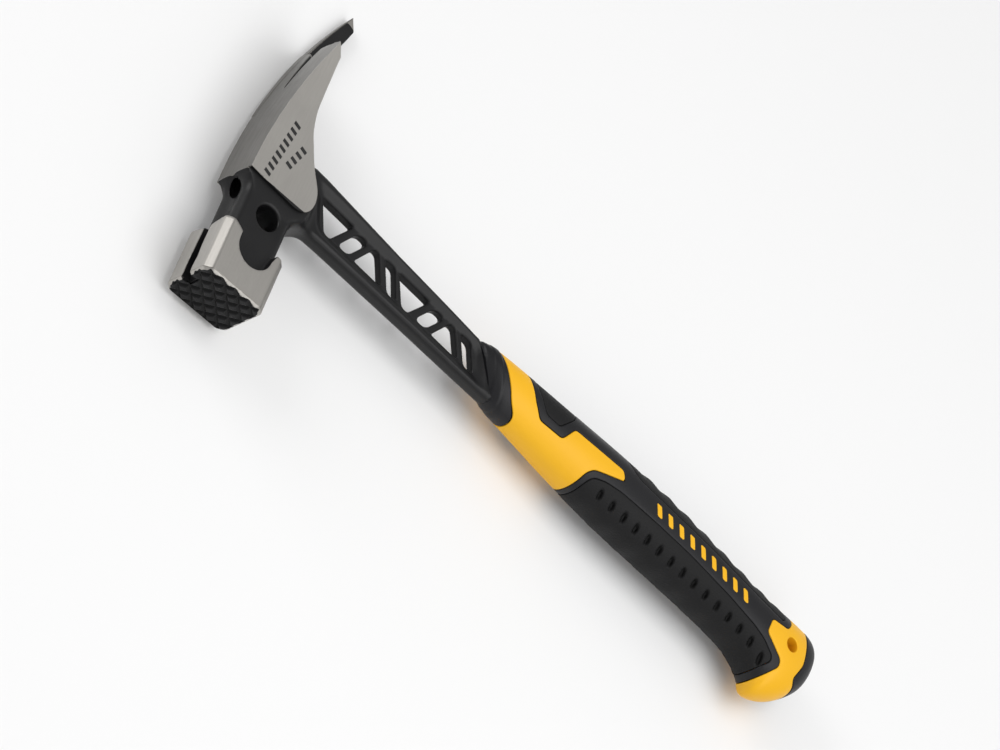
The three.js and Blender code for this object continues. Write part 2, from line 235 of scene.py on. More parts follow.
@dataclass(frozen=True)
class Bench:
    """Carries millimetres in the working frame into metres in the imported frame."""

    shift: tuple[float, float, float]

    @classmethod
    def from_frame(cls, top_x: float, face_y: float, low_z: float) -> "Bench":
        """Finds the shift from the forging's packed box.

        Args:
            top_x: The working frame's x at the box's far +X side.
            face_y: Its y at the striking face.
            low_z: Its z at the lowest point.

        Returns:
            The bench.
        """
        low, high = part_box("forged_body")
        return cls((high.x * 1000 - top_x, high.y * 1000 - face_y, low.z * 1000 - low_z))

    def metres(self, points: Array) -> Array:
        """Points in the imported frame."""
        return (points + np.array(self.shift)) / 1000

    def piece(self, name: str, surface: Surface, material: bpy.types.Material) -> bpy.types.Object:
        """Makes a Blender object of a surface given in the working frame.

        Args:
            name: The object's name.
            surface: Its points in millimetres, and its faces.
            material: Its material.

        Returns:
            The linked object, at the origin, smooth shaded with crisp edges kept.
        """
        mesh = bpy.data.meshes.new(name)
        groups = [group for group in surface.faces if len(group)]
        sizes = np.concatenate([np.full(len(group), group.shape[1]) for group in groups])
        corners = np.concatenate([group.ravel() for group in groups])
        mesh.vertices.add(len(surface.points))
        mesh.vertices.foreach_set("co", self.metres(surface.points).astype(np.float32).ravel())
        mesh.loops.add(len(corners))
        mesh.loops.foreach_set("vertex_index", corners.astype(np.int32))
        mesh.polygons.add(len(sizes))
        starts = np.concatenate([[0], np.cumsum(sizes)[:-1]])
        mesh.polygons.foreach_set("loop_start", starts.astype(np.int32))
        mesh.update(calc_edges=True)
        mesh.validate()
        mesh.shade_smooth()
        mesh.set_sharp_from_angle(angle=CRISP_EDGE)
        mesh.materials.append(material)
        piece = bpy.data.objects.new(name, mesh)
        bpy.context.scene.collection.objects.link(piece)
        return piece


def give_attribute(piece: bpy.types.Object, name: str, values: Array) -> None:
    """Stores one number per point on a piece, for its material to read."""
    attribute = piece.data.attributes.new(name, "FLOAT", "POINT")
    attribute.data.foreach_set("value", values.astype(np.float32))


def hand_in(piece: bpy.types.Object, slot: Slot, *nodes: str) -> None:
    """Lets a piece ride on the body, and puts it in place of its CAD nodes."""
    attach(piece, ROOT)
    if nodes:
        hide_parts(*nodes)
    LOG.info("%s: %d points, %d faces", piece.name, len(piece.data.vertices), len(piece.data.polygons))


def weld(surface: Surface) -> Surface:
    """Merges points that share a place, and drops the faces' repeated corners."""
    keys = np.round(surface.points / WELD_STEP).astype(np.int64)
    _, first, inverse = np.unique(keys, axis=0, return_index=True, return_inverse=True)
    inverse = inverse.reshape(-1)
    tone = None if surface.tone is None else surface.tone[first]
    groups: list[Array] = []
    for group in surface.faces:
        merged = inverse[group]
        repeated = merged == np.roll(merged, -1, axis=1)
        groups.append(merged[~repeated.any(axis=1)])
        single = repeated.sum(axis=1) == 1
        if single.any() and merged.shape[1] > 3:
            kept = merged[single][~repeated[single]]
            groups.append(kept.reshape(-1, merged.shape[1] - 1))
    return Surface(surface.points[first], groups, tone)


def border_edges(faces: list[Array], count: int) -> Array:
    """The edges that only one face has, in that face's direction.

    Args:
        faces: The faces, grouped by corner count.
        count: How many points they index.

    Returns:
        One row for each border edge: its start and its end.
    """
    edges = np.concatenate(
        [np.stack([group, np.roll(group, -1, axis=1)], axis=2).reshape(-1, 2) for group in faces]
    )
    ahead = edges[:, 0] * (count + 1) + edges[:, 1]
    behind = edges[:, 1] * (count + 1) + edges[:, 0]
    return edges[~np.isin(ahead, behind)]


def grid_surface(points: Array) -> Surface:
    """A grid of points as a surface of quads, with the points that share a place merged."""
    rows, columns = points.shape[:2]
    index = np.arange(rows * columns).reshape(rows, columns)
    quads = np.stack([index[:-1, :-1], index[1:, :-1], index[1:, 1:], index[:-1, 1:]], axis=2)
    return weld(Surface(points.reshape(-1, 3), [quads.reshape(-1, 4)]))


# ---- a solid from a field --------------------------------------------------------------------------


def contour(solid: Field, low: Array, high: Array, cell: float) -> Surface:
    """Meshes the surface where a field is zero, keeping its sharp edges.

    The box is cut into blocks, and only the blocks near the surface are sampled. Every lattice edge
    that crosses the surface gives one crossing point with the field's gradient there. Each cell then
    gets one point, which lies best on the planes through the crossings on its edges, and each
    crossed lattice edge gives one face between the four cells round it. A block is sampled if the
    field at its middle is within its reach, counted in block sides. The pull holds a cell's point to
    the middle of its crossings where the planes leave it free, and it moves by no more than the limit.

    Args:
        solid: The field in millimetres, negative inside.
        low: The box's low corner.
        high: The box's high corner.
        cell: The lattice spacing.

    Returns:
        The closed surface.
    """
    block, reach, pull, limit = 8, 1.3, 0.05, 0.6
    counts = np.ceil((high - low) / (cell * block)).astype(int)
    middles = [low[a] + (np.arange(counts[a]) + 0.5) * cell * block for a in range(3)]
    far = np.abs(solid(*np.meshgrid(*middles, indexing="ij"))) > cell * block * reach
    starts = np.argwhere(~far) * block
    steps = np.arange(block + 1)
    shapes = ((1, -1, 1, 1), (1, 1, -1, 1), (1, 1, 1, -1))
    axes = [
        low[a] + cell * (starts[:, a].reshape(-1, 1, 1, 1) + steps.reshape(shapes[a]))
        for a in range(3)
    ]
    value = solid(*axes)
    base = value[:, :block, :block, :block]
    corner_list, point_list, axis_list, outward_list = [], [], [], []
    for a in range(3):
        window = [slice(0, block)] * 3
        window[a] = slice(1, block + 1)
        ahead = value[(slice(None), *window)]
        found = np.nonzero((base < 0) != (ahead < 0))
        corner = starts[found[0]] + np.stack(found[1:], axis=1)
        share = base[found] / (base[found] - ahead[found])
        point = low + cell * corner
        point[:, a] += cell * share
        corner_list.append(corner)
        point_list.append(point)
        axis_list.append(np.full(len(corner), a))
        outward_list.append(base[found] < 0)
    corner = np.vstack(corner_list)
    point = np.vstack(point_list)
    axis = np.concatenate(axis_list)
    outward = np.concatenate(outward_list)
    gradient = field_gradient(solid, point)
    normal = gradient / np.maximum(np.linalg.norm(gradient, axis=1, keepdims=True), TINY)
    point -= normal * (solid(*point.T) / np.maximum(np.linalg.norm(gradient, axis=1), TINY))[:, None]

    unit = np.eye(3, dtype=int)
    second, third = unit[(axis + 1) % 3], unit[(axis + 2) % 3]
    round_edge = np.stack([corner, corner - second, corner - second - third, corner - third], axis=1)
    extent = counts * block + 2
    key = ((round_edge[..., 0] + 1) * extent[1] + round_edge[..., 1] + 1) * extent[2]
    key += round_edge[..., 2] + 1
    cells, owner = np.unique(key.ravel(), return_inverse=True)
    owner = owner.reshape(-1)
    repeated_point = np.repeat(point, 4, axis=0)
    repeated_normal = np.repeat(normal, 4, axis=0)
    total = len(cells)
    share_count = np.bincount(owner, minlength=total)

    def gather(weights: Array) -> Array:
        """Sums a number over the crossings of each cell."""
        return np.bincount(owner, weights=weights, minlength=total)

    centre = np.stack([gather(repeated_point[:, a]) / share_count for a in range(3)], axis=1)
    height = np.einsum("ij,ij->i", repeated_normal, repeated_point - centre[owner])
    matrix = np.zeros((total, 3, 3))
    for a in range(3):
        for b in range(3):
            matrix[:, a, b] = gather(repeated_normal[:, a] * repeated_normal[:, b])
    matrix += np.eye(3) * pull
    target = np.stack([gather(repeated_normal[:, a] * height) for a in range(3)], axis=1)
    move = np.linalg.solve(matrix, target[..., None])[..., 0]
    points = centre + np.clip(move, -limit * cell, limit * cell)
    quads = owner.reshape(-1, 4)
    quads = np.where(outward[:, None], quads, quads[:, ::-1])
    return Surface(points, [quads])


def field_gradient(solid: Field, points: Array, step: float = 0.02) -> Array:
    """The field's gradient at points, by differences a step to either side."""
    columns = []
    for a in range(3):
        offset = np.zeros(3)
        offset[a] = step
        columns.append((solid(*(points + offset).T) - solid(*(points - offset).T)) / (2 * step))
    return np.stack(columns, axis=1)


# ---- a shell from a trimmed sheet ------------------------------------------------------------------


@dataclass
class Sheet:
    """A grid of points on a surface, with the outward normal and a tone at each of them."""

    points: Array
    normals: Array
    tone: Array | None = None

    @classmethod
    def from_points(cls, points: Array, closed: bool) -> "Sheet":
        """Works out the normals as the cross product of the grid's two directions.

        Args:
            points: Rows by columns of points; the rows' way crossed with the columns' is outwards.
            closed: Whether the last column repeats the first one.

        Returns:
            The sheet.
        """
        along = np.gradient(points, axis=0)
        if closed:
            ring = np.concatenate([points[:, -2:-1], points, points[:, 1:2]], axis=1)
            across = (ring[:, 2:] - ring[:, :-2]) / 2
        else:
            across = np.gradient(points, axis=1)
        normals = np.cross(along, across)
        size = np.linalg.norm(normals, axis=2, keepdims=True)
        normals = normals / np.maximum(size, TINY)
        for end, inner in ((0, 1), (-1, -2)):
            if size[end].max() < 1e-6:
                mean = normals[inner].mean(axis=0)
                normals[end] = mean / np.linalg.norm(mean)
        return cls(points, normals)

    def raised(self, height: Array, closed: bool) -> "Sheet":
        """The sheet moved along its normals by a height at each point."""
        return Sheet.from_points(self.points + self.normals * height[..., None], closed)


def trim(sheet: Sheet, level: Array) -> tuple[Surface, Array]:
    """Keeps the part of a sheet where a level is positive, cut exactly along its zero line.

    Each cell keeps its positive corners, and gets a new corner on each side where the level changes
    sign, at the linear share. Cells of one pattern of signs are handled together.

    Args:
        sheet: The sheet.
        level: The level at each of its points.

    Returns:
        The kept surface, and the normals at its points.
    """
    rows, columns = level.shape
    kept = level > 0
    grid_id = np.full(level.shape, -1)
    grid_id[kept] = np.arange(kept.sum())
    tone = np.zeros(level.shape) if sheet.tone is None else sheet.tone
    points, normals, tones = [sheet.points[kept]], [sheet.normals[kept]], [tone[kept][:, None]]
    sources = ((points, sheet.points), (normals, sheet.normals), (tones, tone[..., None]))
    total = int(kept.sum())
    side_ids = []
    for axis in (0, 1):
        first = [slice(None), slice(None)]
        second = [slice(None), slice(None)]
        first[axis], second[axis] = slice(0, -1), slice(1, None)
        a, b = level[tuple(first)], level[tuple(second)]
        crossed = (a > 0) != (b > 0)
        share = (a[crossed] / (a[crossed] - b[crossed]))[:, None]
        for store, source in sources:
            start, end = source[tuple(first)][crossed], source[tuple(second)][crossed]
            store.append(start + (end - start) * share)
        ids = np.full(a.shape, -1)
        ids[crossed] = total + np.arange(crossed.sum())
        total += int(crossed.sum())
        side_ids.append(ids)
    down, right = side_ids
    corner_ids = [grid_id[:-1, :-1], grid_id[1:, :-1], grid_id[1:, 1:], grid_id[:-1, 1:]]
    cut_ids = [down[:, :-1], right[1:, :], down[:, 1:], right[:-1, :]]
    signs = [ids >= 0 for ids in corner_ids]
    pattern = sum(sign.astype(int) << k for k, sign in enumerate(signs))
    faces = []
    for case in range(1, 16):
        cells = pattern == case
        if not cells.any():
            continue
        walk = []
        for k in range(4):
            here, after = bool(case >> k & 1), bool(case >> ((k + 1) % 4) & 1)
            if here:
                walk.append(corner_ids[k][cells])
            if here != after:
                walk.append(cut_ids[k][cells])
        faces.append(np.stack(walk, axis=1))
    all_normals = np.vstack(normals)
    all_normals /= np.maximum(np.linalg.norm(all_normals, axis=1, keepdims=True), TINY)
    return Surface(np.vstack(points), faces, np.vstack(tones)[:, 0]), all_normals


def shell(sheet: Sheet, level: Level, edge: float, depth: float) -> Surface:
    """A closed shell of the part of a sheet inside an outline, with a rounded rim.

    The outer skin is trimmed an edge's radius inside the outline. From its border a quarter circle
    runs outwards and down to the outline, then a wall goes down to an inner skin at the depth.

    Args:
        sheet: The outer surface.
        level: Distance inside the outline, as a function of x and y.
        edge: The rim's radius.
        depth: The shell's thickness.

    Returns:
        The closed shell.
    """
    grid = sheet.points
    skin, normals = trim(sheet, level(grid[..., 0], grid[..., 1]) - edge)
    keys = np.round(skin.points / WELD_STEP).astype(np.int64)
    _, first = np.unique(keys, axis=0, return_index=True)
    merged = weld(skin)
    normals = normals[first]
    points = merged.points
    border = border_edges(merged.faces, len(points))
    rim = np.unique(border)
    place = np.full(len(points), -1)
    place[rim] = np.arange(len(rim))
    x, y = points[rim, 0], points[rim, 1]
    step = 0.05
    slope_x = level(x + step, y) - level(x - step, y)
    slope_y = level(x, y + step) - level(x, y - step)
    slope = np.stack([slope_x, slope_y, np.zeros_like(x)], axis=1)
    up = normals[rim]
    outwards = np.einsum("ij,ij->i", slope, up)[:, None] * up - slope
    outwards /= np.maximum(np.linalg.norm(outwards, axis=1, keepdims=True), TINY)
    rows = [points[rim] - up * edge + (outwards * math.sin(turn) + up * math.cos(turn)) * edge
            for turn in (math.pi / 6, math.pi / 3, math.pi / 2)]
    inner_start = len(points) + len(rows) * len(rim)
    all_points = np.vstack([points, *rows, points - normals * depth])
    faces = list(merged.faces)
    previous = border
    for k in range(len(rows)):
        here = place[border] + len(points) + k * len(rim)
        faces.append(np.stack([previous[:, 1], previous[:, 0], here[:, 0], here[:, 1]], axis=1))
        previous = here
    inner = border + inner_start
    faces.append(np.stack([previous[:, 1], previous[:, 0], inner[:, 0], inner[:, 1]], axis=1))
    faces += [group[:, ::-1] + inner_start for group in merged.faces]
    tone = np.concatenate([merged.tone, *[merged.tone[rim]] * len(rows), merged.tone])
    return Surface(all_points, faces, tone)


# ---- the forging -----------------------------------------------------------------------------------


@dataclass
class Forging:
    """Head, claw, spike and windowed shank, which are one piece of steel."""

    half_height: float = 15.4
    half_width: float = 13.8
    chamfer: float = 3.0
    face_bevel: float = 1.15
    shoulder_y: float = -53.5
    head_start: float = -54.0
    slot_start: float = -104.8
    far_side: float = -16.4
    core_half: float = 9.7
    fillet: float = 9.0
    spike_inner: float = -11.9
    hole_centre: tuple[float, float] = (-2.0, -40.0)
    hole_radius: float = 5.3
    pocket_centre: tuple[float, float] = (8.6, -49.0)
    pocket_radius: float = 4.5
    pocket_floor: float = -61.5
    scoop_centre: tuple[float, float] = (-0.9, -21.2)
    scoop_radius: float = 8.3
    scoop_floor: float = 8.8
    shank_half: float = 4.0
    web_half: float = 2.0
    web_rise: float = 5.5
    collar_start: tuple[float, float] = (-112.4, -66.3)
    collar_lean: float = 0.93
    window_start: tuple[float, float] = (-33.0, -65.0)
    window_slope: float = 0.0717
    window_pitch: float = 44.6
    window_shrink: float = 0.93
    cell: float = 0.53
    skin_tolerance: float = 0.3

    def octagon(self, x: Array, z: Array) -> Array:
        """Distance to the poll's section: two pairs of flats and four chamfers."""
        flats = smooth_meet(np.abs(x) - self.half_height, np.abs(z) - self.half_width, 0.4)
        reach = self.half_height + self.half_width - self.chamfer
        return smooth_meet(flats, (np.abs(x) + np.abs(z) - reach) / math.sqrt(2), 0.6)

    def scoop(self, x: Array, y: Array) -> Array:
        """Distance to the round-ended slot in a cheek, which widens a little towards the neck."""
        centre_x, centre_y = self.scoop_centre
        behind = np.maximum(centre_y - y, 0)
        ahead = np.maximum(y - centre_y, 0)
        spread = np.where(x < centre_x, 0.3, 0.03) * behind
        return np.hypot(x - centre_x, ahead) - self.scoop_radius - spread

    def poll(self, x: Array, y: Array, z: Array) -> Array:
        """The striking block: an octagonal bar with arched tongues behind and a scoop in each cheek.

        Away from a tongue's crest the back edge drops forwards as a parabola, up to a limit.
        """
        arch = (x - np.abs(z) - 2.5) / 9
        drop = np.where(arch > 0, 1.2, 3.2) * np.minimum(arch * arch, 1.6)
        back = np.where(x > 0, -27.2 + drop, -25.6)
        bar = smooth_meet(self.octagon(x, z), back - y, 1.2)
        bar = np.maximum(bar, y + self.face_bevel)
        pocket = smooth_meet(self.scoop(x, y), self.scoop_floor - np.abs(z), 2.2)
        return smooth_cut(bar, pocket, 0.3)

    def neck(self, x: Array, y: Array, z: Array) -> Array:
        """The bar behind the poll, with a shallow valley between two ridges along its top."""
        bar = rounded_rectangle(x + 0.95, z, 12.35, 9.6, 4.6)
        valley = np.hypot(x - 15.4, z) - 5.6
        bar = smooth_cut(bar, valley, 2.0)
        return np.maximum(bar, np.abs(y + 35) - 25)

    def claw_top(self, y: Array) -> Array:
        """Height of the claw's upper surface: a cubic in the distance behind the head's start."""
        u = (self.head_start - y) / 100
        return 14.2 - 0.16 * u - 19.6 * u * u - 0.5 * u**3

    def half_width_at(self, y: Array) -> Array:
        """Half the head's width: a quadratic in the distance behind the head's start."""
        u = np.maximum(self.head_start - y, -4) / 100
        return 10.9 + 3.3 * u + 4.8 * u * u

    def underside(self, y: Array) -> Array:
        """Height of the cheek's lower edge, a smooth curve through a few stations."""
        knots = np.array([
            (-50, -16.6), (-57, -16.9), (-61, -16.7), (-65.2, -15.2), (-72.5, -10), (-79.5, -6),
            (-85.6, -2.9), (-93.4, -0.8), (-100, -0.2), (-110.3, 0.4), (-120.6, 0.9), (-134, 0.6),
        ])
        return np.interp(-y, *smooth_table(knots)) - 0.35

    def spike_underside(self, y: Array) -> Array:
        """Height of the spike's lower edge."""
        knots = np.array([
            (-95, -0.2), (-104, -0.6), (-112, -1.5), (-121, -3.1), (-130, -5.2), (-141, -8.4),
            (-151.5, -11.6), (-159.2, -13.7), (-167, -15.4),
        ])
        return np.interp(-y, *smooth_table(knots))

    def blade_edge(self, z: Array) -> Array:
        """Where the blade's cutting edge lies along Y, from the upper cheek to the spike's root."""
        stations = (-17, -11.8, -6.2, -2.1, 4.7, 13, 16)
        return np.interp(z, stations, (-134.4, -134.4, -130.9, -132.2, -131.5, -129.1, -126.4))

    def blade_bevel(self, x: Array, y: Array, z: Array) -> Array:
        """Distance to the plane that bevels the blade's end, from its edge down to the underside."""
        edge = self.blade_edge(z)
        return ((x - self.claw_top(edge)) * -5.9 + (y - edge) * -2.7) / math.hypot(5.9, 2.7)

    def spike_bevel(self, x: Array, y: Array) -> Array:
        """Distance to the plane that bevels the spike's end."""
        return ((x + 11) * -6.3 + (y + 166.3) * -2.7) / math.hypot(6.3, 2.7)

    def sides(self, y: Array, z: Array) -> Array:
        """Distance to the two cheeks; the lower one stops flaring at the spike's straight side."""
        half = self.half_width_at(y)
        return np.maximum(z - half, -z - np.minimum(half, -self.far_side))

    def top_skin(self, x: Array, y: Array) -> Array:
        """Distance above the claw's upper surface."""
        return (x - self.claw_top(y)) * 0.96

    def shoulder(self, x: Array, y: Array) -> Array:
        """Distance in front of the head's front face, which leans slightly forwards at the bottom."""
        return ((x - 14.1) * 2 + (y - self.shoulder_y) * 21.5) / math.hypot(2, 21.5)

    def nail_slot(self, x: Array, y: Array, z: Array) -> Array:
        """Distance to the tapering nail slot, with bevelled lips towards its mouth."""
        run = np.maximum(self.slot_start - y, 0)
        middle = -1.9 - 0.082 * run
        half = 0.4 + 0.062 * run + 0.02 * run * np.maximum(1.4 + self.top_skin(x, y), 0)
        return np.maximum(np.abs(z - middle) - half, y - self.slot_start)

    def head(self, x: Array, y: Array, z: Array) -> Array:
        """The sharp-edged head: blade and spike under one curved top, between two flat cheeks.

        The spike's far and near planes narrow it to its tip.
        """
        skin = np.maximum(self.top_skin(x, y), self.sides(y, z))
        under = (self.underside(y) - x) * 0.9
        body = smooth_meet(under, self.shoulder(x, y), 8.5)
        blade = np.maximum(np.maximum(skin, body), self.blade_bevel(x, y, z))
        blade = np.maximum(blade, -self.nail_slot(x, y, z))
        spike = np.maximum(skin, (self.spike_underside(y) - x) * 0.95)
        spike = np.maximum(spike, np.maximum(y + 92, z - self.spike_inner + (y + 134) * -0.015))
        far = ((y + 161.8) * -3 + (z - self.far_side) * -5) / math.hypot(3, 5)
        near = ((y + 160) * -0.5 + (z + 12.2) * 6) / math.hypot(0.5, 6)
        spike = np.maximum(spike, np.maximum(np.maximum(far, near), self.spike_bevel(x, y)))
        return smooth_union(blade, spike, 0.8)

    def from_hole(self, x: Array, y: Array) -> Array:
        """Distance from the axis of the neck's hole."""
        return np.hypot(x - self.hole_centre[0], y - self.hole_centre[1])

    def head_core(self, x: Array, y: Array, z: Array) -> Array:
        """The inside of the head, short of its cheeks, which the neck and the shank run into."""
        body = smooth_meet((self.underside(y) - x) * 0.9 + 1.2, self.shoulder(x, y), 6)
        body = np.maximum(body, self.top_skin(x, y) + 0.4)
        return np.maximum(np.maximum(body, np.abs(z) - 8.8), -84 - y)

    def window_axes(self, x: Array, y: Array) -> tuple[Array, Array]:
        """Distance towards the butt and towards the face, from the first window's middle."""
        size = math.hypot(1, self.window_slope)
        dx, dy = x - self.window_start[0], y - self.window_start[1]
        along = (-dx + self.window_slope * dy) / size
        return along, (self.window_slope * dx + dy) / size

    def windows(self, x: Array, y: Array) -> Array:
        """Distance to the nearest window: triangle, slanted slot, triangle, slanted slot, twice."""
        pattern = (
            ([(-8.8, -6.2), (7.9, -6.2), (1.3, 6.2), (-1.6, 6.2)], 1.6),
            ([(6.2, 5.8), (11.8, -5.6), (17.3, -5.6), (11.4, 5.8)], 3.2),
            ([(15.6, 5.7), (21.1, -5.6), (23.2, -5.6), (30.2, 5.7)], 1.6),
            ([(27.5, -5.8), (32.6, -5.8), (39.2, 5.9), (34.5, 5.9)], 1.8),
        )
        along, across = self.window_axes(x, y)
        nearest = None
        for repeat in range(2):
            for corners, blend in pattern:
                outline = np.array(corners)
                outline[:, 0] += repeat * self.window_pitch
                outline[:, 1] *= self.window_shrink**repeat
                if polygon_area(outline) < 0:
                    outline = outline[::-1]
                distance = convex_distance(along, across, outline, blend)
                nearest = distance if nearest is None else np.minimum(nearest, distance)
        return nearest - 0.3

    def shank(self, x: Array, y: Array, z: Array) -> Array:
        """The I-shaped bar, whose thickness rises smoothly from a thin, windowed web to its rims.

        Under the collar, whose slanted front edge the covered length is measured from, it thins down.
        """
        back = np.interp(-x, (8, 16, 23, 65, 95, 113, 119), (-79, -80.5, -79.9, -74.4, -71.2, -69.1, -65))
        belly = np.interp(-x, (8, 33, 52, 81, 110, 127, 133), (-52, -51.6, -50.8, -49.6, -48.1, -47.4, -52))
        outline = np.maximum((back - y) * 0.99, y - belly)
        along, across = self.window_axes(x, y)
        panel = np.array([(-13.6, -8.4), (81, -7.5), (88.4, 7.5), (-5.4, 8.4)])
        rise = np.clip(0.5 + convex_distance(along, across, panel, 4) / self.web_rise, 0, 1)
        half = self.web_half + (self.shank_half - self.web_half) * rise * rise * (3 - 2 * rise)
        bar = smooth_meet(outline, (np.abs(z) - half) * 0.92, 2.8)
        bar = smooth_cut(bar, self.windows(x, y), 0.9)
        covered = self.collar_start[0] - x + self.collar_lean * (self.collar_start[1] - y)
        bar = smooth_meet(bar, 0.95 * (np.abs(z) - self.shank_half - 0.6 + 0.42 * covered), 0.8)
        return np.maximum(bar, np.maximum(x + 6, -134 - x))

    def nail_groove(self, x: Array, y: Array, z: Array) -> Array:
        """Distance to the groove along the poll's top, a little wider where a nail's shank rests."""
        middle = np.exp(-(((y + 9) / 5) ** 2))
        mouth = np.clip((y + 3.5) / 3.5, 0, 1)
        half = 2.3 + 0.5 * middle + 0.5 * mouth
        return np.maximum(np.abs(z - 0.1) - half, 11.9 - 1.4 * mouth - x)

    def solid(self, x: Array, y: Array, z: Array) -> Array:
        """The whole forging.

        The neck, the shank and the head's core are blended with fillets and held between the cheeks.
        The sharp head and the poll are then added, and the hole, the groove and the magnet's pocket,
        a bore with a round end, are taken out.
        """
        slab = np.abs(z) - self.core_half
        core = smooth_union(self.neck(x, y, z), self.head_core(x, y, z), self.fillet)
        core = smooth_union(smooth_meet(core, slab, 0.8), self.shank(x, y, z), self.fillet)
        core = smooth_meet(core, slab, 0.8)
        core = np.where(y < self.shoulder_y, np.maximum(core, self.top_skin(x, y) + 0.2), core)
        core = smooth_cut(core, self.from_hole(x, y) - self.hole_radius, 1.2)
        whole = np.minimum(core, self.head(x, y, z))
        whole = smooth_union(whole, self.poll(x, y, z), 0.8)
        whole = smooth_cut(whole, np.maximum(self.nail_groove(x, y, z), -48 - y), 0.3)
        ahead = np.maximum(y - self.pocket_centre[1], 0)
        bore = np.sqrt((x - self.pocket_centre[0]) ** 2 + z**2 + ahead**2) - self.pocket_radius
        return smooth_cut(whole, np.maximum(bore, self.pocket_floor - y), 0.4)

    def bareness(self, x: Array, y: Array, z: Array) -> Array:
        """How far a point is inside the ground, uncoated steel.

        The poll's outer skin, both cheeks, the claw's top, the two end bevels and the spike's last
        few millimetres are ground after coating, and everything that lies below those skins is black.
        """
        skin = self.skin_tolerance
        poll = np.minimum(self.octagon(x, z) + skin, y + 30)
        head = np.maximum(self.sides(y, z), self.top_skin(x, y)) + skin
        head = np.minimum(head, self.shoulder_y + 0.8 - y)
        tip = np.minimum(np.hypot(x + 9.3, y + 153.4) - 8.2, -158 - y)
        bevels = np.minimum(self.blade_bevel(x, y, z) + skin, -118 - y)
        return np.max([poll, head, tip, np.minimum(bevels, z + 11.8)], axis=0)

    def painted_shade_region(self, x: Array, y: Array, z: Array) -> Array:
        """How far a point is inside the painted shade: the claw's top, painted darker than the cheeks as a
        darker reflection, or the neck's hole, painted as shade.
        """
        top = np.minimum(self.top_skin(x, y) + self.skin_tolerance, self.shoulder_y + 0.8 - y)
        hole = np.minimum(self.hole_radius - 0.7 - self.from_hole(x, y), 8.2 - np.abs(z))
        return np.maximum(np.minimum(top, -self.sides(y, z) - 0.15), hole)

    def cheek_marks(self, bench: Bench, material: bpy.types.Material) -> None:
        """Two rows of slanted bars, a thin film of ink on the upper cheek."""
        pitch, half_bar, half_row, lean_of_bar = 3.3, 0.8, 1.7, 0.3
        x, y = np.meshgrid(np.arange(-6, 10, 0.2), np.arange(-88, -53, 0.2), indexing="ij")
        points = np.stack([x, y, self.half_width_at(y) + 0.03], axis=2)

        def level(x: Array, y: Array) -> Array:
            """Distance inside the nearest bar of either row."""
            rows = []
            for first_x, first_y, lean, count in ((7.0, -56.0, 0.11, 9), (0.0, -65.2, 0.3, 4)):
                centre = first_x + lean * (y - first_y)
                slanted = y - first_y + lean_of_bar * (x - centre)
                number = np.clip(np.round(-slanted / pitch), 0, count - 1)
                width = half_bar - np.abs(slanted + pitch * number)
                rows.append(np.minimum(width, half_row - np.abs(x - centre)))
            return np.maximum(*rows)

        film = shell(Sheet.from_points(points, closed=False), level, 0.02, 0.3)
        piece = bench.piece("cheek_marks", film, material)
        hand_in(piece, Slot.BLACK_COATING)

    def build(self, bench: Bench, material: bpy.types.Material) -> bpy.types.Object:
        """Contours the forging and marks its bare steel, and the painted shade: a darker reflection painted
        on the claw's top and shade painted inside the neck's hole.
        """
        low = np.array([-138.0, -168.0, -17.6])
        high = np.array([17.0, 1.0, 17.6])
        surface = contour(self.solid, low, high, self.cell)
        piece = bench.piece("forged_steel_body", surface, material)
        give_attribute(piece, "bare", self.bareness(*surface.points.T))
        # Painted shade: a darker reflection on the claw's top, and shade inside the neck's hole.
        give_attribute(piece, "painted_shade", self.painted_shade_region(*surface.points.T))
        hand_in(piece, Slot.FORGED_STEEL, "forged_body")
        return piece


def smooth_table(knots: Array) -> tuple[Array, Array]:
    """A dense table of the curve through the knots, with the first coordinate negated to rise."""
    curve = catmull_rom(knots, np.linspace(0, len(knots) - 1, 24 * len(knots)))
    return -curve[:, 0], curve[:, 1]


def polygon_area(corners: Array) -> float:
    """Signed area of an outline, positive if it runs anticlockwise."""
    x, y = corners.T
    return float(np.sum(x * np.roll(y, -1) - np.roll(x, -1) * y) / 2)


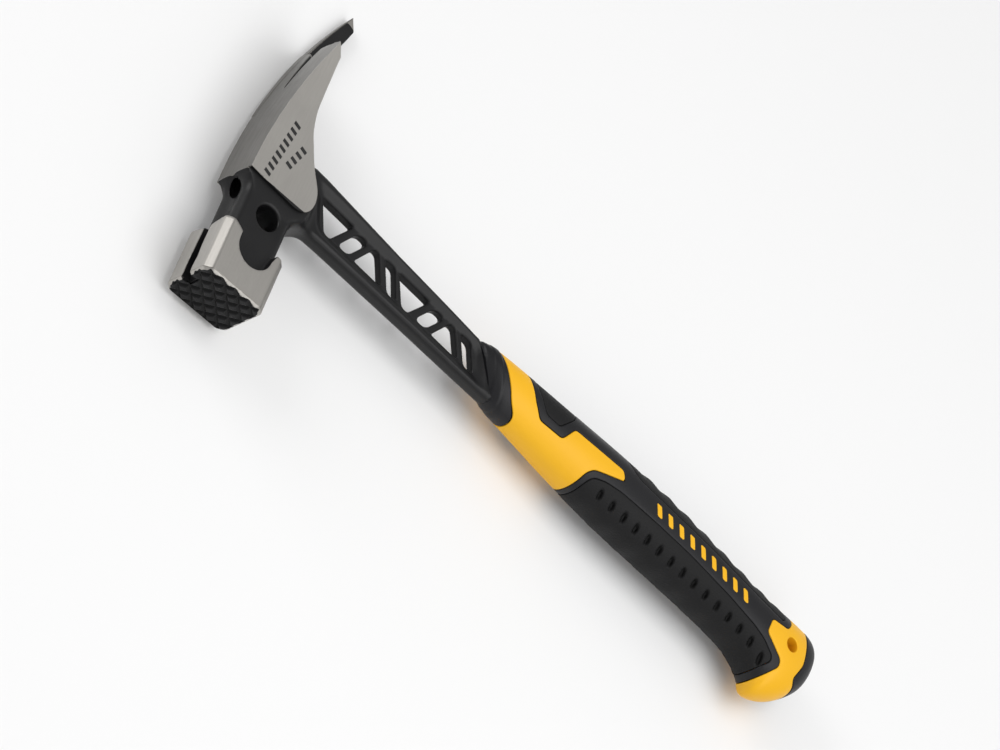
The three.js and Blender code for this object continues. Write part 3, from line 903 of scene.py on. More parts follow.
@dataclass
class MilledFace:
    """The striking face: a diagonal grid of flat-topped pyramids inside a bevelled rim."""

    forging: Forging
    pitch: float = 4.85
    groove_half: float = 1.35
    groove_depth: float = 0.9
    bevel_slope: float = 0.8
    fade: float = 0.4
    notch: float = 0.65
    spacing: float = 0.22
    seat: float = 1.0
    taper: float = 0.96

    def grooves(self, x: Array, z: Array) -> Array:
        """Depth of the milling: V-shaped grooves along both diagonals, a pitch apart."""
        depth = np.zeros(np.broadcast(x, z).shape)
        for diagonal in ((x + z) / math.sqrt(2), (x - z) / math.sqrt(2)):
            offset = np.abs(diagonal / self.pitch - np.round(diagonal / self.pitch)) * self.pitch
            share = np.clip(1 - offset / self.groove_half, 0, 1)
            depth = np.maximum(depth, share * self.groove_depth)
        return depth

    def bevel(self, x: Array, z: Array) -> Array:
        """Depth of the bevel round the rim, in the run of the octagon's sides."""
        return self.bevel_slope * np.maximum(self.forging.octagon(x, z) + self.forging.face_bevel, 0)

    def level(self, x: Array, z: Array) -> Array:
        """Distance inside the face's outline: the octagon without the nail groove."""
        groove = self.forging.nail_groove(x, np.zeros_like(x), z)
        return -np.maximum(self.forging.octagon(x, z), -groove)

    def build(self, bench: Bench, material: bpy.types.Material) -> bpy.types.Object:
        """Lays a fine grid over the face, sinks the grooves and the bevel, and closes the plate.

        The grooves fade out at the bevel, whose bare steel they notch. The plate's back is a copy of
        its front, flat and a little smaller.
        """
        x_values = np.arange(-15.9, 15.9, self.spacing)
        z_values = np.arange(-14.3, 14.3, self.spacing)
        x, z = np.meshgrid(x_values, z_values, indexing="ij")
        inside = -self.forging.octagon(x, z) - self.forging.face_bevel
        faded = self.grooves(x, z) * np.clip(1 + inside / self.fade, 0, 1)
        depth = np.maximum(faded, self.bevel(x, z))
        points = np.stack([x, z, -depth], axis=2)
        flat = np.zeros_like(points)
        flat[..., 2] = 1
        skin, _ = trim(Sheet(points, flat), self.level(x, z))
        skin = weld(skin)
        lower = skin.points * self.taper
        lower[:, 2] = -self.forging.face_bevel - self.seat
        count = len(lower)
        border = border_edges(skin.faces, count)
        wall = np.stack([border[:, 1], border[:, 0], border[:, 0] + count, border[:, 1] + count], axis=1)
        faces = skin.faces + [wall] + [group[:, ::-1] + count for group in skin.faces]
        flat_points = np.vstack([skin.points, lower])
        placed = flat_points[:, [0, 2, 1]]
        surface = Surface(placed, [group[:, ::-1] for group in faces])
        piece = bench.piece("milled_face", surface, material)
        x, y, z = placed.T
        bare = self.bevel(x, z) - self.notch * self.grooves(x, z) - 0.05
        give_attribute(piece, "bare", bare)
        # Painted shade: the groove bottoms are darkened, but not on the bare bevel.
        give_attribute(piece, "painted_shade", np.minimum(self.grooves(x, z) - 0.25, -bare))
        hand_in(piece, Slot.BLACK_COATING)
        return piece


# ---- the grip --------------------------------------------------------------------------------------


class Moulding(Enum):
    """The grip's visible mouldings, each with the CAD node that it stands for."""

    CORE = "grip_core"
    COLLAR = "front_collar"
    FRAME = "grip_frame"
    PALM = "palm_pad"
    SPINE = "spine_pad"
    THUMB = "thumb_pad"
    BUMPER = "butt_bumper"


@dataclass
class Grip:
    """The two-colour moulded grip: one smooth surface, parted along the mouldings' outlines."""

    power: float = 2.25
    rim: float = 0.45
    wall: float = 1.9
    spacing: float = 0.42
    around: int = 176
    lanyard: tuple[float, float] = (-300.2, -46.9)
    lanyard_radius: float = 3.2
    sleeve_half: float = 11.6
    first_dimple: float = -188.4
    dimple_pitch: float = 7.2
    dimples_a_side: int = 15
    dimple_depth: float = 1.5

    def stations(self) -> tuple[Array, Array]:
        """The grip's sections: a point on the back with half the thickness, and one on the belly."""
        table = np.array([
            (-112.4, -68.6, -127.4, -48.3, 4.8),
            (-114.8, -69.7, -130.2, -47.0, 6.8),
            (-118.3, -70.1, -133.6, -45.7, 8.3),
            (-124, -70.4, -138.8, -45.4, 9.3),
            (-140, -70.2, -150, -44.3, 10.6),
            (-165, -69.9, -173, -41.4, 11.9),
            (-195, -69.8, -200, -38.6, 12.7),
            (-225, -68.4, -228, -37.4, 12.9),
            (-255, -65.5, -256, -36.2, 12.7),
            (-277, -63, -277, -34.4, 12.6),
            (-292, -62.5, -285.8, -31.2, 12.6),
            (-304, -62.6, -291.3, -26.2, 12.4),
            (-311.2, -62.3, -294.2, -21.2, 12),
            (-315.8, -60.6, -300.3, -22.2, 11),
            (-318.4, -57, -307.8, -26.8, 9),
            (-319.2, -51, -315, -34.8, 5.6),
            (-319.0, -44, -318.6, -42, 0.6),
        ])
        return table[:, [0, 1, 4]], table[:, [2, 3, 4]]

    def rings(self, t: Array, inset: float = 0.0) -> Array:
        """Rings of points round the grip.

        Each ring lies in the upright plane through its station's back and belly points. It is a
        superellipse, whose half axes are half their distance and the station's half thickness.

        Args:
            t: Stations, counted along the table.
            inset: How far inside the surface the rings lie.

        Returns:
            Rows by columns of points, with the first column repeated at the end.
        """
        backs, bellies = self.stations()
        back, belly = catmull_rom(backs, t), catmull_rom(bellies, t)
        half = np.maximum(back[:, 2] - inset, 0.01)
        centre, reach = (back + belly)[:, :2] / 2, (belly - back)[:, :2] / 2
        length = np.linalg.norm(reach, axis=1, keepdims=True)
        reach = reach / length * np.maximum(length - inset, 0.01)
        angle = np.linspace(0, 2 * math.pi, self.around + 1)
        exponent = 2 / self.power
        across = np.sign(np.cos(angle)) * np.abs(np.cos(angle)) ** exponent
        up = np.sign(np.sin(angle)) * np.abs(np.sin(angle)) ** exponent
        up[-1], across[-1] = up[0], across[0]
        plan = centre[:, None] + reach[:, None] * across[None, :, None]
        return np.concatenate([plan, (half[:, None] * up[None])[..., None]], axis=2)

    def even_stations(self, start: float, end: float, spacing: float) -> Array:
        """Stations whose rings lie an even distance apart along the grip."""
        fine = np.linspace(start, end, 2000)
        backs, bellies = self.stations()
        middle = (catmull_rom(backs, fine) + catmull_rom(bellies, fine)) / 2
        length = np.concatenate([[0], np.cumsum(np.linalg.norm(np.diff(middle, axis=0), axis=1))])
        count = int(length[-1] / spacing) + 2
        return np.interp(np.linspace(0, length[-1], count), length, fine)

    def sheet(self, start: float, end: float, relief: Callable[[Array, Array], Array]) -> Sheet:
        """The grip's surface between two stations, closed at the ends of the grip, with a relief."""
        points = self.rings(self.even_stations(start, end, self.spacing))
        if start == 0:
            points = np.concatenate([self.end_cap(points[0])[::-1], points])
        if end == len(self.stations()[0]) - 1:
            points = np.concatenate([points, self.end_cap(points[-1])])
        plain = Sheet.from_points(points, closed=True)
        angle = np.linspace(0, 2 * math.pi, self.around + 1)[None] + np.zeros((len(points), 1))
        angle = np.minimum(angle, 2 * math.pi - angle)
        raised = plain.raised(relief(points, angle), closed=True)
        raised.tone = self.dimples(points, angle)
        return raised

    @staticmethod
    def end_cap(ring: Array) -> Array:
        """Rings that shrink from a ring to its middle."""
        centre = ring[:-1].mean(axis=0)
        shares = np.array([0.85, 0.6, 0.3, 0.0])[:, None, None]
        return centre + (ring - centre)[None] * shares

    # The outlines are seen from above, and each is cut through the grip's full thickness.

    def outlines(self) -> dict[Moulding, Array]:
        """The outline of each moulding that covers the core, with its corners rounded."""
        collar = [(-100, -30), (-100, -90), (-119.8, -90), (-119.8, -74), (-124.2, -66.1),
                  (-134.1, -50.8), (-139.5, -46.4), (-141, -42), (-141, -30)]
        frame_outline = [
            (-176.5, -30), (-176.8, -41.1), (-177.6, -46.2), (-180, -49.2), (-195.3, -54.1),
            (-193, -58.5), (-165, -58.8), (-161, -51.2), (-148.6, -51.7), (-143.8, -57.2),
            (-139.6, -64.5), (-136, -72), (-136, -90), (-299, -90), (-299, -64), (-297.9, -56),
            (-295.9, -52), (-286.4, -50.8), (-285.9, -43.8), (-296.9, -37.2), (-297.7, -33.9),
            (-292, -26), (-289.5, -22), (-289.5, -15), (-270, -10)]
        palm = [(-180.2, -30), (-179.6, -42.6), (-181.4, -46.4), (-187.3, -48.2), (-196, -49),
                (-216.8, -48.5), (-238, -47.4), (-262.7, -44.8), (-279.3, -42.1), (-286.1, -40),
                (-292.4, -36.2), (-293.3, -34), (-289.5, -28.6), (-286, -20), (-270, -10)]
        spine = [(-293, -53.8), (-245.7, -58), (-212.5, -59.8), (-201.5, -60.9), (-197.4, -63.9),
                 (-193, -72), (-193, -90), (-295.2, -90), (-295.2, -64)]
        thumb = [(-163.4, -62.6), (-157.8, -55), (-150.4, -55.6), (-144, -63), (-141, -70),
                 (-141, -90), (-166, -90), (-166, -70)]
        bumper = [(-308.6, -90), (-308.4, -57), (-310, -43), (-307.6, -35.2), (-310.9, -32.6),
                  (-313.5, -22), (-340, -22), (-340, -90)]
        return {
            Moulding.COLLAR: round_corners(collar, 2.6),
            Moulding.FRAME: round_corners(frame_outline, 1.6),
            Moulding.PALM: round_corners(palm, 2.0),
            Moulding.SPINE: round_corners(spine, 1.8),
            Moulding.THUMB: round_corners(thumb, 1.4),
            Moulding.BUMPER: round_corners(bumper, 1.2),
        }

    def level(self, moulding: Moulding) -> Level:
        """Distance inside a moulding's share of the surface, as a function of x and y."""
        outlines = self.outlines()
        pads = (Moulding.PALM, Moulding.SPINE, Moulding.THUMB)
        covers = (Moulding.COLLAR, Moulding.FRAME, Moulding.BUMPER)

        def inside(x: Array, y: Array) -> Array:
            """The smallest of the distances to the moulding's own edge and to its neighbours."""
            hole = np.hypot(x - self.lanyard[0], y - self.lanyard[1]) - self.lanyard_radius
            if moulding is Moulding.CORE:
                parts = [-outline_distance(x, y, outlines[cover]) - FIT_GAP for cover in covers]
                return np.minimum(np.min(parts, axis=0), hole)
            own = outline_distance(x, y, outlines[moulding])
            if moulding is Moulding.FRAME:
                parts = [-outline_distance(x, y, outlines[pad]) - FIT_GAP for pad in pads]
                own = np.minimum(own, np.min(parts, axis=0))
            return own

        return inside

    def dimples(self, points: Array, angle: Array) -> Array:
        """Depth of the row of slanted oval dimples along each side of the palm pad."""
        last = self.dimples_a_side - 1
        behind = self.first_dimple - points[..., 0]
        number = np.clip(np.round(behind / self.dimple_pitch), 0, last)
        along = number * self.dimple_pitch - behind
        around = 12.8 * (angle - np.interp(number, (0, last), (0.75, 0.69)))
        share = np.clip(1.5 - np.hypot(along - 0.19 * around, around / 2.1), 0, 1)
        return self.dimple_depth * share * share * (3 - 2 * share)

    def relief(self, moulding: Moulding) -> Callable[[Array, Array], Array]:
        """How far a moulding stands out of the plain grip surface.

        Args:
            moulding: The moulding.

        Returns:
            A function of the surface's points and their angle from the belly.
        """

        def palm(points: Array, angle: Array) -> Array:
            """A crowned pad with dimples, gently waved along the belly."""
            pitch = 2 * self.dimple_pitch
            wave = 0.28 * np.sin(2 * math.pi * (points[..., 0] + 188.2) / pitch)
            belly = np.clip(1.2 - angle / 0.6, 0, 1)
            return 0.15 + wave * belly - self.dimples(points, angle)

        def spine(points: Array, angle: Array) -> Array:
            """Low cross ribs that fade out at both ends of the pad."""
            x, y = points[..., 0], points[..., 1]
            fade = np.clip((-200 - x) / 6, 0, 1) * np.clip((x + 292) / 6, 0, 1)
            back = np.clip((angle - 2.2) / 0.3, 0, 1)
            pitch, height = 11.2, 0.65
            rib = 0.5 + 0.5 * np.sin(2 * math.pi * (x + 203) / pitch + 0.25 * (y + 62))
            return height * fade * back * (rib - 0.3)

        def collar(points: Array, angle: Array) -> Array:
            """Slanted steps that rise from the shank to a crest, and a lower border behind it."""
            slant = points[..., 0] + 0.44 * points[..., 1]
            steps, border, ramp = (-141, -144.5, -148), -151.4, 0.8
            rise = sum(np.clip((start - slant) / ramp, 0, 1) * 0.3 for start in steps)
            fall = np.clip((border - slant) / ramp, 0, 1) * 0.4
            return rise - 0.5 - fall

        heights = {Moulding.FRAME: 0.0, Moulding.THUMB: -0.12, Moulding.CORE: 0.0, Moulding.BUMPER: 0.1}
        if moulding in heights:
            return lambda points, angle: np.full(points.shape[:2], heights[moulding])
        return {Moulding.PALM: palm, Moulding.SPINE: spine, Moulding.COLLAR: collar}[moulding]

    def inner_body(self) -> Surface:
        """The core under the mouldings: a plain closed body that stops short of the lanyard hole."""
        start, end, coarse = 2.5, 10.4, 3.0
        points = self.rings(self.even_stations(start, end, coarse), inset=1.7)[:, ::2]
        points = np.concatenate([self.end_cap(points[0])[::-1], points, self.end_cap(points[-1])])
        return grid_surface(points)

    def lanyard_sleeve(self) -> Surface:
        """The wall of the lanyard hole: a tube through the grip with a flared mouth at each side."""
        angle = np.linspace(0, 2 * math.pi, 49)
        half = self.sleeve_half
        profile = [(0.6, -half - 0.1), (0.15, -half + 0.5), (0, -half + 1.2), (0, half - 1.2),
                   (0.15, half - 0.5), (0.6, half + 0.1), (1.6, half - 1.0), (1.6, 1 - half)]
        rows = [
            np.stack([
                self.lanyard[0] + (self.lanyard_radius + out) * np.cos(angle),
                self.lanyard[1] + (self.lanyard_radius + out) * np.sin(angle),
                np.full_like(angle, height),
            ], axis=1)
            for out, height in profile + profile[:1]
        ]
        return grid_surface(np.stack(rows))

    def build(self, bench: Bench, dress: dict[Moulding, bpy.types.Material]) -> None:
        """Makes every moulding as its own closed piece, over its span of stations."""
        last = len(self.stations()[0]) - 1
        spans = {
            Moulding.COLLAR: (0, 5), Moulding.CORE: (2, last), Moulding.FRAME: (3, 13),
            Moulding.PALM: (4, 13), Moulding.SPINE: (5, 13), Moulding.THUMB: (3, 6),
            Moulding.BUMPER: (11, last),
        }
        slots = {
            Moulding.CORE: Slot.YELLOW_CORE, Moulding.COLLAR: Slot.BLACK_FRAME,
            Moulding.FRAME: Slot.BLACK_FRAME, Moulding.PALM: Slot.SOFT_RUBBER,
            Moulding.SPINE: Slot.SOFT_RUBBER, Moulding.THUMB: Slot.SOFT_RUBBER,
            Moulding.BUMPER: Slot.BLACK_FRAME,
        }
        for moulding, (start, end) in spans.items():
            sheet = self.sheet(start, end, self.relief(moulding))
            surface = shell(sheet, self.level(moulding), self.rim, self.wall)
            if moulding is Moulding.CORE:
                surface = surface.joined(self.lanyard_sleeve())
            piece = bench.piece(f"{moulding.value}_moulding", surface, dress[moulding])
            if moulding is Moulding.PALM:
                # Painted shade in the dimples: the colour darkens with the dimple depth.
                give_attribute(piece, "painted_shade", surface.tone)
            hand_in(piece, slots[moulding], moulding.value)
        piece = bench.piece("grip_inner_body", self.inner_body(), dress[Moulding.FRAME])
        hand_in(piece, Slot.BLACK_FRAME)

    def strip_bars(self, bench: Bench, material: bpy.types.Material) -> None:
        """A row of slanted bars, barely proud of the smooth strip on both sides of the grip."""
        count, first, last = 9, -215.5, -269.5
        half_bar, half_row, proud = 1.35, 2.5, 0.12
        pitch = (last - first) / (count - 1)

        def level(x: Array, y: Array) -> Array:
            """Distance inside the nearest bar, a parallelogram across the strip."""
            middle = np.interp(-x, (212, 245, 271), (-54.2, -52.4, -50.0))
            slanted = x + 0.45 * (y - middle)
            number = np.clip(np.round((slanted - first) / pitch), 0, count - 1)
            width = half_bar - np.abs(slanted - first - number * pitch)
            return np.minimum(width, half_row - np.abs(y - middle))

        sheet = self.sheet(6, 9, lambda points, angle: np.full(points.shape[:2], proud))
        piece = bench.piece("strip_bars", shell(sheet, level, proud, 0.5), material)
        hand_in(piece, Slot.YELLOW_CORE)


# ---- finishes --------------------------------------------------------------------------------------


def node_group(name: str, inputs: dict[str, float], outputs: tuple[str, ...]) -> bpy.types.NodeTree:
    """Makes an empty shader group with named number inputs and outputs, and a vector input.

    Args:
        name: The group's name.
        inputs: Number inputs and their defaults.
        outputs: Names of the number outputs.

    Returns:
        The group, with its input and output nodes in place.
    """
    group = bpy.data.node_groups.new(name, "ShaderNodeTree")
    group.interface.new_socket("Vector", in_out="INPUT", socket_type="NodeSocketVector")
    for label, default in inputs.items():
        socket = group.interface.new_socket(label, in_out="INPUT", socket_type="NodeSocketFloat")
        socket.default_value = default
    for label in outputs:
        group.interface.new_socket(label, in_out="OUTPUT", socket_type="NodeSocketFloat")
    group.nodes.new("NodeGroupInput").name = "in"
    group.nodes.new("NodeGroupOutput").name = "out"
    return group


@dataclass
class Wiring:
    """A node tree with short ways to add and join its nodes."""

    tree: bpy.types.NodeTree

    def add(self, kind: str, **settings: object) -> bpy.types.Node:
        """Adds a node and sets its properties."""
        node = self.tree.nodes.new(kind)
        for label, value in settings.items():
            setattr(node, label, value)
        return node

    def join(self, source: bpy.types.NodeSocket, target: bpy.types.NodeSocket) -> None:
        """Links an output to an input."""
        self.tree.links.new(source, target)

    def noise(self, vector: bpy.types.NodeSocket, scale: float, detail: float = 2.0,
              stretch: tuple[float, float, float] = (1, 1, 1)) -> bpy.types.NodeSocket:
        """Noise on a stretched vector, from 0 to 1."""
        mapping = self.add("ShaderNodeMapping")
        mapping.inputs["Scale"].default_value = stretch
        self.join(vector, mapping.inputs["Vector"])
        node = self.add("ShaderNodeTexNoise")
        node.inputs["Scale"].default_value = scale
        node.inputs["Detail"].default_value = detail
        self.join(mapping.outputs["Vector"], node.inputs["Vector"])
        return node.outputs["Fac"]

    def maths(self, operation: str, a: object, b: object, clamp: bool = False) -> bpy.types.NodeSocket:
        """A Math node on two sockets or numbers."""
        node = self.add("ShaderNodeMath", operation=operation, use_clamp=clamp)
        for socket, value in zip(node.inputs, (a, b)):
            if isinstance(value, (int, float)):
                socket.default_value = value
            else:
                self.join(value, socket)
        return node.outputs["Value"]

    def fit(self, value: bpy.types.NodeSocket, low: float, high: float, to_low: float,
            to_high: float) -> bpy.types.NodeSocket:
        """Maps a range of a value to another range, held at its ends."""
        node = self.add("ShaderNodeMapRange")
        self.join(value, node.inputs["Value"])
        for label, number in zip(("From Min", "From Max", "To Min", "To Max"), (low, high, to_low, to_high)):
            node.inputs[label].default_value = number
        return node.outputs["Result"]

    def blend(self, share: bpy.types.NodeSocket, first: object, second: object) -> bpy.types.NodeSocket:
        """Mixes two colours, given as sockets or as red, green and blue."""
        node = self.add("ShaderNodeMix", data_type="RGBA")
        self.join(share, node.inputs["Factor"])
        for label, value in (("A", first), ("B", second)):
            socket = next(s for s in node.inputs if s.name == label and s.type == "RGBA")
            if isinstance(value, tuple):
                socket.default_value = (*value, 1)
            else:
                self.join(value, socket)
        return next(s for s in node.outputs if s.type == "RGBA")


def start_finish(name: str) -> tuple[bpy.types.Material, Wiring, bpy.types.Node]:
    """A new material, with the wiring of its node tree and its shader."""
    material = bpy.data.materials.new(name)
    material.use_nodes = True
    return material, Wiring(material.node_tree), material.node_tree.nodes["Principled BSDF"]


def brushed_group() -> bpy.types.NodeTree:
    """Fine grinding lines: noise stretched along one direction, as a height and as a shade."""
    group = node_group("brushed_lines", {"Amount": 1.0}, ("Height", "Shade"))
    wiring = Wiring(group)
    source = group.nodes["in"].outputs
    lines = wiring.noise(source["Vector"], 900, 3, (1, 0.05, 1))
    broad = wiring.noise(source["Vector"], 60, 2)
    height = wiring.maths("MULTIPLY", lines, source["Amount"])
    shade = wiring.maths("ADD", wiring.maths("MULTIPLY", lines, 0.5), wiring.maths("MULTIPLY", broad, 0.5))
    wiring.join(height, group.nodes["out"].inputs["Height"])
    wiring.join(shade, group.nodes["out"].inputs["Shade"])
    return group


def grain_group() -> bpy.types.NodeTree:
    """Moulded grain: fine cells over soft unevenness, as a height and as a shade."""
    group = node_group("moulded_grain", {"Scale": 900.0}, ("Height", "Shade"))
    wiring = Wiring(group)
    source = group.nodes["in"].outputs
    cells = wiring.add("ShaderNodeTexVoronoi")
    wiring.join(source["Vector"], cells.inputs["Vector"])
    wiring.join(source["Scale"], cells.inputs["Scale"])
    uneven = wiring.noise(source["Vector"], 35, 3)
    height = wiring.maths("ADD", cells.outputs["Distance"], uneven)
    wiring.join(height, group.nodes["out"].inputs["Height"])
    wiring.join(uneven, group.nodes["out"].inputs["Shade"])
    return group


@dataclass(frozen=True)
class Moulded:
    """A moulded plastic or rubber finish."""

    name: str
    colour: tuple[float, float, float]
    shade: tuple[float, float, float]
    roughness: float
    grain: float
    grain_scale: float
    specular: float = 0.3

    def make(self, group: bpy.types.NodeTree) -> bpy.types.Material:
        """Builds the material: two close colours and a roughness varied by the moulded grain.

        Where a piece has a painted shade attribute, in millimetres of dimple depth, the colour fades to
        black: painted shade in the palm pad's dimples.
        """
        material, wiring, shader = start_finish(self.name)
        place = wiring.add("ShaderNodeTexCoord").outputs["Object"]
        grain = wiring.add("ShaderNodeGroup", node_tree=group)
        wiring.join(place, grain.inputs["Vector"])
        grain.inputs["Scale"].default_value = self.grain_scale
        share = wiring.fit(grain.outputs["Shade"], 0.3, 0.7, 0, 1)
        painted_shade = wiring.add("ShaderNodeAttribute", attribute_name="painted_shade").outputs["Fac"]
        toned = wiring.add("ShaderNodeVectorMath", operation="SCALE")
        wiring.join(wiring.blend(share, self.colour, self.shade), toned.inputs[0])
        wiring.join(wiring.fit(painted_shade, 0.15, 0.8, 1.0, 0.05), toned.inputs["Scale"])
        wiring.join(toned.outputs["Vector"], shader.inputs["Base Color"])
        rough = wiring.fit(grain.outputs["Shade"], 0.3, 0.7, self.roughness - 0.05, self.roughness + 0.05)
        wiring.join(rough, shader.inputs["Roughness"])
        bump = wiring.add("ShaderNodeBump")
        bump.inputs["Strength"].default_value = self.grain
        bump.inputs["Distance"].default_value = BUMP_DEPTH
        wiring.join(grain.outputs["Height"], bump.inputs["Height"])
        wiring.join(bump.outputs["Normal"], shader.inputs["Normal"])
        shader.inputs["Specular IOR Level"].default_value = self.specular
        return material


INK = Moulded("black_ink", (0.012, 0.012, 0.012), (0.02, 0.02, 0.02), 0.5, 0.05, 1600)
YELLOW = Moulded("yellow_plastic", (0.83, 0.43, 0.007), (0.87, 0.46, 0.010), 0.45, 0.10, 1600)
BLACK = Moulded("black_elastomer", (0.006, 0.006, 0.0072), (0.009, 0.009, 0.0108), 0.45, 0.15, 1600)
RUBBER = Moulded("soft_rubber", (0.006, 0.006, 0.0064), (0.008, 0.008, 0.0084), 0.6, 0.5, 1300, 0.22)


@dataclass(frozen=True)
class CoatedSteel:
    """Ground steel where the piece's bare attribute is positive, and black coating elsewhere."""

    name: str
    steel: tuple[float, float, float] = (0.455, 0.437, 0.41)
    steel_dark: tuple[float, float, float] = (0.40, 0.385, 0.36)
    coating: tuple[float, float, float] = (0.0065, 0.0065, 0.007)
    coating_pale: tuple[float, float, float] = (0.010, 0.010, 0.0105)
    shadow: float = 0.4
    specular: float = 0.26
    steel_roughness: float = 0.34
    coating_roughness: float = 0.36
    grain_scale: float = 1400
    relief: float = 0.12

    def make(self, brushed: bpy.types.NodeTree, grain: bpy.types.NodeTree) -> bpy.types.Material:
        """Builds the material, with the two finishes split crisply by the bare attribute.

        Where the painted shade attribute is positive, either colour is scaled down to the shadow factor:
        painted shade in the milled grooves and the neck's hole, and a painted darker reflection on the
        claw's top.
        """
        material, wiring, shader = start_finish(self.name)
        place = wiring.add("ShaderNodeTexCoord").outputs["Object"]
        attribute = wiring.add("ShaderNodeAttribute", attribute_name="bare")
        ragged = wiring.fit(wiring.noise(place, 700, 2), 0, 1, -0.06, 0.06)
        edge = wiring.maths("ADD", attribute.outputs["Fac"], ragged)
        bare = wiring.fit(edge, -0.03, 0.03, 0, 1)
        lines = wiring.add("ShaderNodeGroup", node_tree=brushed)
        wiring.join(place, lines.inputs["Vector"])
        cast = wiring.add("ShaderNodeGroup", node_tree=grain)
        wiring.join(place, cast.inputs["Vector"])
        cast.inputs["Scale"].default_value = self.grain_scale
        shade = wiring.fit(lines.outputs["Shade"], 0.35, 0.65, 0, 1)
        steel = wiring.blend(shade, self.steel_dark, self.steel)
        cast_share = wiring.fit(cast.outputs["Shade"], 0.3, 0.7, 0, 1)
        coat = wiring.blend(cast_share, self.coating, self.coating_pale)
        painted_shade = wiring.add("ShaderNodeAttribute", attribute_name="painted_shade").outputs["Fac"]
        # Painted shade: the colour is scaled down to the shadow factor here.
        tone = wiring.fit(painted_shade, -0.05, 0.1, 1.0, self.shadow)
        toned = wiring.add("ShaderNodeVectorMath", operation="SCALE")
        wiring.join(wiring.blend(bare, coat, steel), toned.inputs[0])
        wiring.join(tone, toned.inputs["Scale"])
        wiring.join(toned.outputs["Vector"], shader.inputs["Base Color"])
        wiring.join(bare, shader.inputs["Metallic"])
        shader.inputs["Specular IOR Level"].default_value = self.specular
        steel_rough = wiring.fit(shade, 0, 1, self.steel_roughness + 0.06, self.steel_roughness - 0.04)
        coat_rough = wiring.fit(cast.outputs["Shade"], 0.3, 0.7, self.coating_roughness - 0.05,
                                self.coating_roughness + 0.07)
        change = wiring.maths("SUBTRACT", steel_rough, coat_rough)
        rough = wiring.maths("ADD", coat_rough, wiring.maths("MULTIPLY", change, bare))
        wiring.join(rough, shader.inputs["Roughness"])
        lift = wiring.maths("SUBTRACT", lines.outputs["Height"], cast.outputs["Height"])
        mixed = wiring.maths("ADD", cast.outputs["Height"], wiring.maths("MULTIPLY", lift, bare))
        bump = wiring.add("ShaderNodeBump")
        bump.inputs["Strength"].default_value = self.relief
        bump.inputs["Distance"].default_value = BUMP_DEPTH
        wiring.join(mixed, bump.inputs["Height"])
        wiring.join(bump.outputs["Normal"], shader.inputs["Normal"])
        return material


@dataclass(frozen=True)
class Plated:
    """Plated steel with faint lines, for the disc magnet in its pocket."""

    name: str = "plated_magnet"
    colour: tuple[float, float, float] = (0.62, 0.62, 0.62)
    smoothest: float = 0.25
    roughest: float = 0.4

    def make(self, brushed: bpy.types.NodeTree) -> bpy.types.Material:
        """Builds the material: one colour, and a roughness varied by the lines."""
        material, wiring, shader = start_finish(self.name)
        lines = wiring.add("ShaderNodeGroup", node_tree=brushed)
        wiring.join(wiring.add("ShaderNodeTexCoord").outputs["Object"], lines.inputs["Vector"])
        shader.inputs["Base Color"].default_value = (*self.colour, 1)
        shader.inputs["Metallic"].default_value = 1.0
        rough = wiring.fit(lines.outputs["Shade"], 0.3, 0.7, self.smoothest, self.roughest)
        wiring.join(rough, shader.inputs["Roughness"])
        return material


# ---- studio ----------------------------------------------------------------------------------------


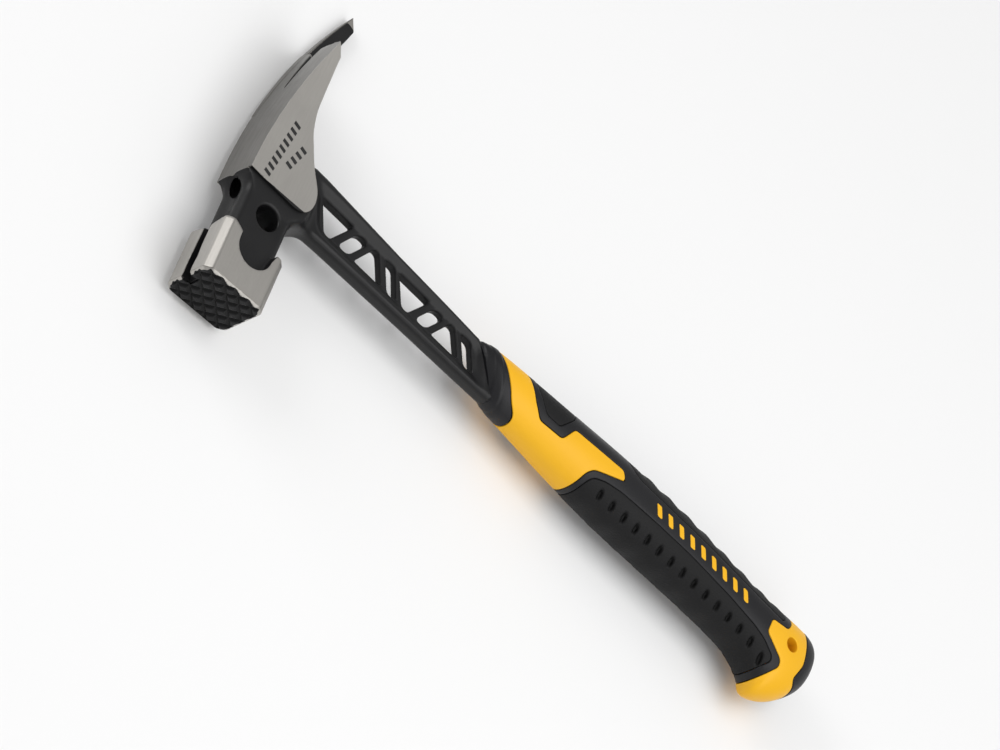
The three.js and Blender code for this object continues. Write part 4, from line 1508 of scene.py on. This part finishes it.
@dataclass(frozen=True)
class Studio:
    """The camera, the pale floor and the soft lights."""

    camera_place: tuple[float, float, float] = (621.3, 976.0, 1256.5)
    camera_target: tuple[float, float, float] = (-129.6, -64.0, 0.0)
    picture_up: tuple[float, float, float] = (0.593159, -0.757534, 0.272588)
    lens: float = 162.0

    def aim(self, thing: bpy.types.Object, place: Vector, target: Vector, up: Vector) -> None:
        """Puts a camera or light at a place, looking at a target, with a given way up."""
        back = (place - target).normalized()
        right = up.cross(back).normalized()
        rotation = Matrix((right, back.cross(right), back)).transposed()
        thing.matrix_world = Matrix.Translation(place) @ rotation.to_4x4()

    def camera(self, bench: Bench) -> None:
        """Adds the camera."""
        data = bpy.data.cameras.new("camera")
        data.lens = self.lens
        data.clip_end = 20
        camera = bpy.data.objects.new("camera", data)
        bpy.context.scene.collection.objects.link(camera)
        place = Vector(bench.metres(np.array(self.camera_place)))
        target = Vector(bench.metres(np.array(self.camera_target)))
        self.aim(camera, place, target, Vector(self.picture_up))
        bpy.context.scene.camera = camera

    def floor(self) -> None:
        """Adds a wide pale floor under the hammer."""
        size = 6.0
        z = CAD_BOX[0][2] - 0.0002
        mesh = bpy.data.meshes.new("floor")
        corners = [(-size, -size, z), (size, -size, z), (size, size, z), (-size, size, z)]
        mesh.from_pydata(corners, [], [(0, 1, 2, 3)])
        floor = bpy.data.objects.new("floor", mesh)
        bpy.context.scene.collection.objects.link(floor)
        material, _, shader = start_finish("floor_paper")
        shader.inputs["Base Color"].default_value = (0.86, 0.86, 0.86, 1)
        shader.inputs["Roughness"].default_value = 0.9
        mesh.materials.append(material)

    def light(self, name: str, place: tuple[float, float, float], size: float, power: float) -> None:
        """Adds a square soft light that looks at the middle of the hammer."""
        data = bpy.data.lights.new(name, "AREA")
        data.shape = "SQUARE"
        data.size = size
        data.energy = power
        light = bpy.data.objects.new(name, data)
        bpy.context.scene.collection.objects.link(light)
        self.aim(light, Vector(place), Vector((0, 0, 0.01)), Vector((0.1, 1, 0.05)))

    def build(self, bench: Bench) -> None:
        """Sets the whole studio up."""
        self.camera(bench)
        self.floor()
        self.light("overhead", (-0.3, 0.2, 1.6), 1.5, 16.5)
        self.light("from_face", (-0.5, 1.5, 1.0), 0.9, 4.2)
        self.light("from_head", (1.5, -0.4, 0.6), 0.8, 7.5)
        world = bpy.data.worlds.new("studio")
        world.use_nodes = True
        world.node_tree.nodes["Background"].inputs["Color"].default_value = (1, 1, 1, 1)
        world.node_tree.nodes["Background"].inputs["Strength"].default_value = 0.5
        bpy.context.scene.world = world
        bpy.context.scene.view_settings.view_transform = "Standard"


# ---- assembly --------------------------------------------------------------------------------------


def main() -> None:
    """Builds the hammer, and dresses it."""
    logging.basicConfig(level=logging.INFO, format="%(message)s")
    forging = Forging()
    bench = Bench.from_frame(forging.half_height, 0.0, forging.far_side)
    Studio().build(bench)

    brushed, grain = brushed_group(), grain_group()
    coated_steel = CoatedSteel("coated_steel").make(brushed, grain)
    black_face = CoatedSteel("milled_black", shadow=0.25, specular=0.16).make(brushed, grain)
    ink, yellow, black, rubber = (finish.make(grain) for finish in (INK, YELLOW, BLACK, RUBBER))

    forging.build(bench, coated_steel)
    forging.cheek_marks(bench, ink)
    MilledFace(forging).build(bench, black_face)
    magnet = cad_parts["nail_magnet"]
    magnet.data.materials.clear()
    magnet.data.materials.append(Plated().make(brushed))

    grip = Grip()
    grip.build(bench, {
        Moulding.CORE: yellow, Moulding.COLLAR: black, Moulding.FRAME: black, Moulding.PALM: rubber,
        Moulding.SPINE: rubber, Moulding.THUMB: rubber, Moulding.BUMPER: black,
    })
    grip.strip_bars(bench, yellow)


if __name__ == "__main__":
    main()
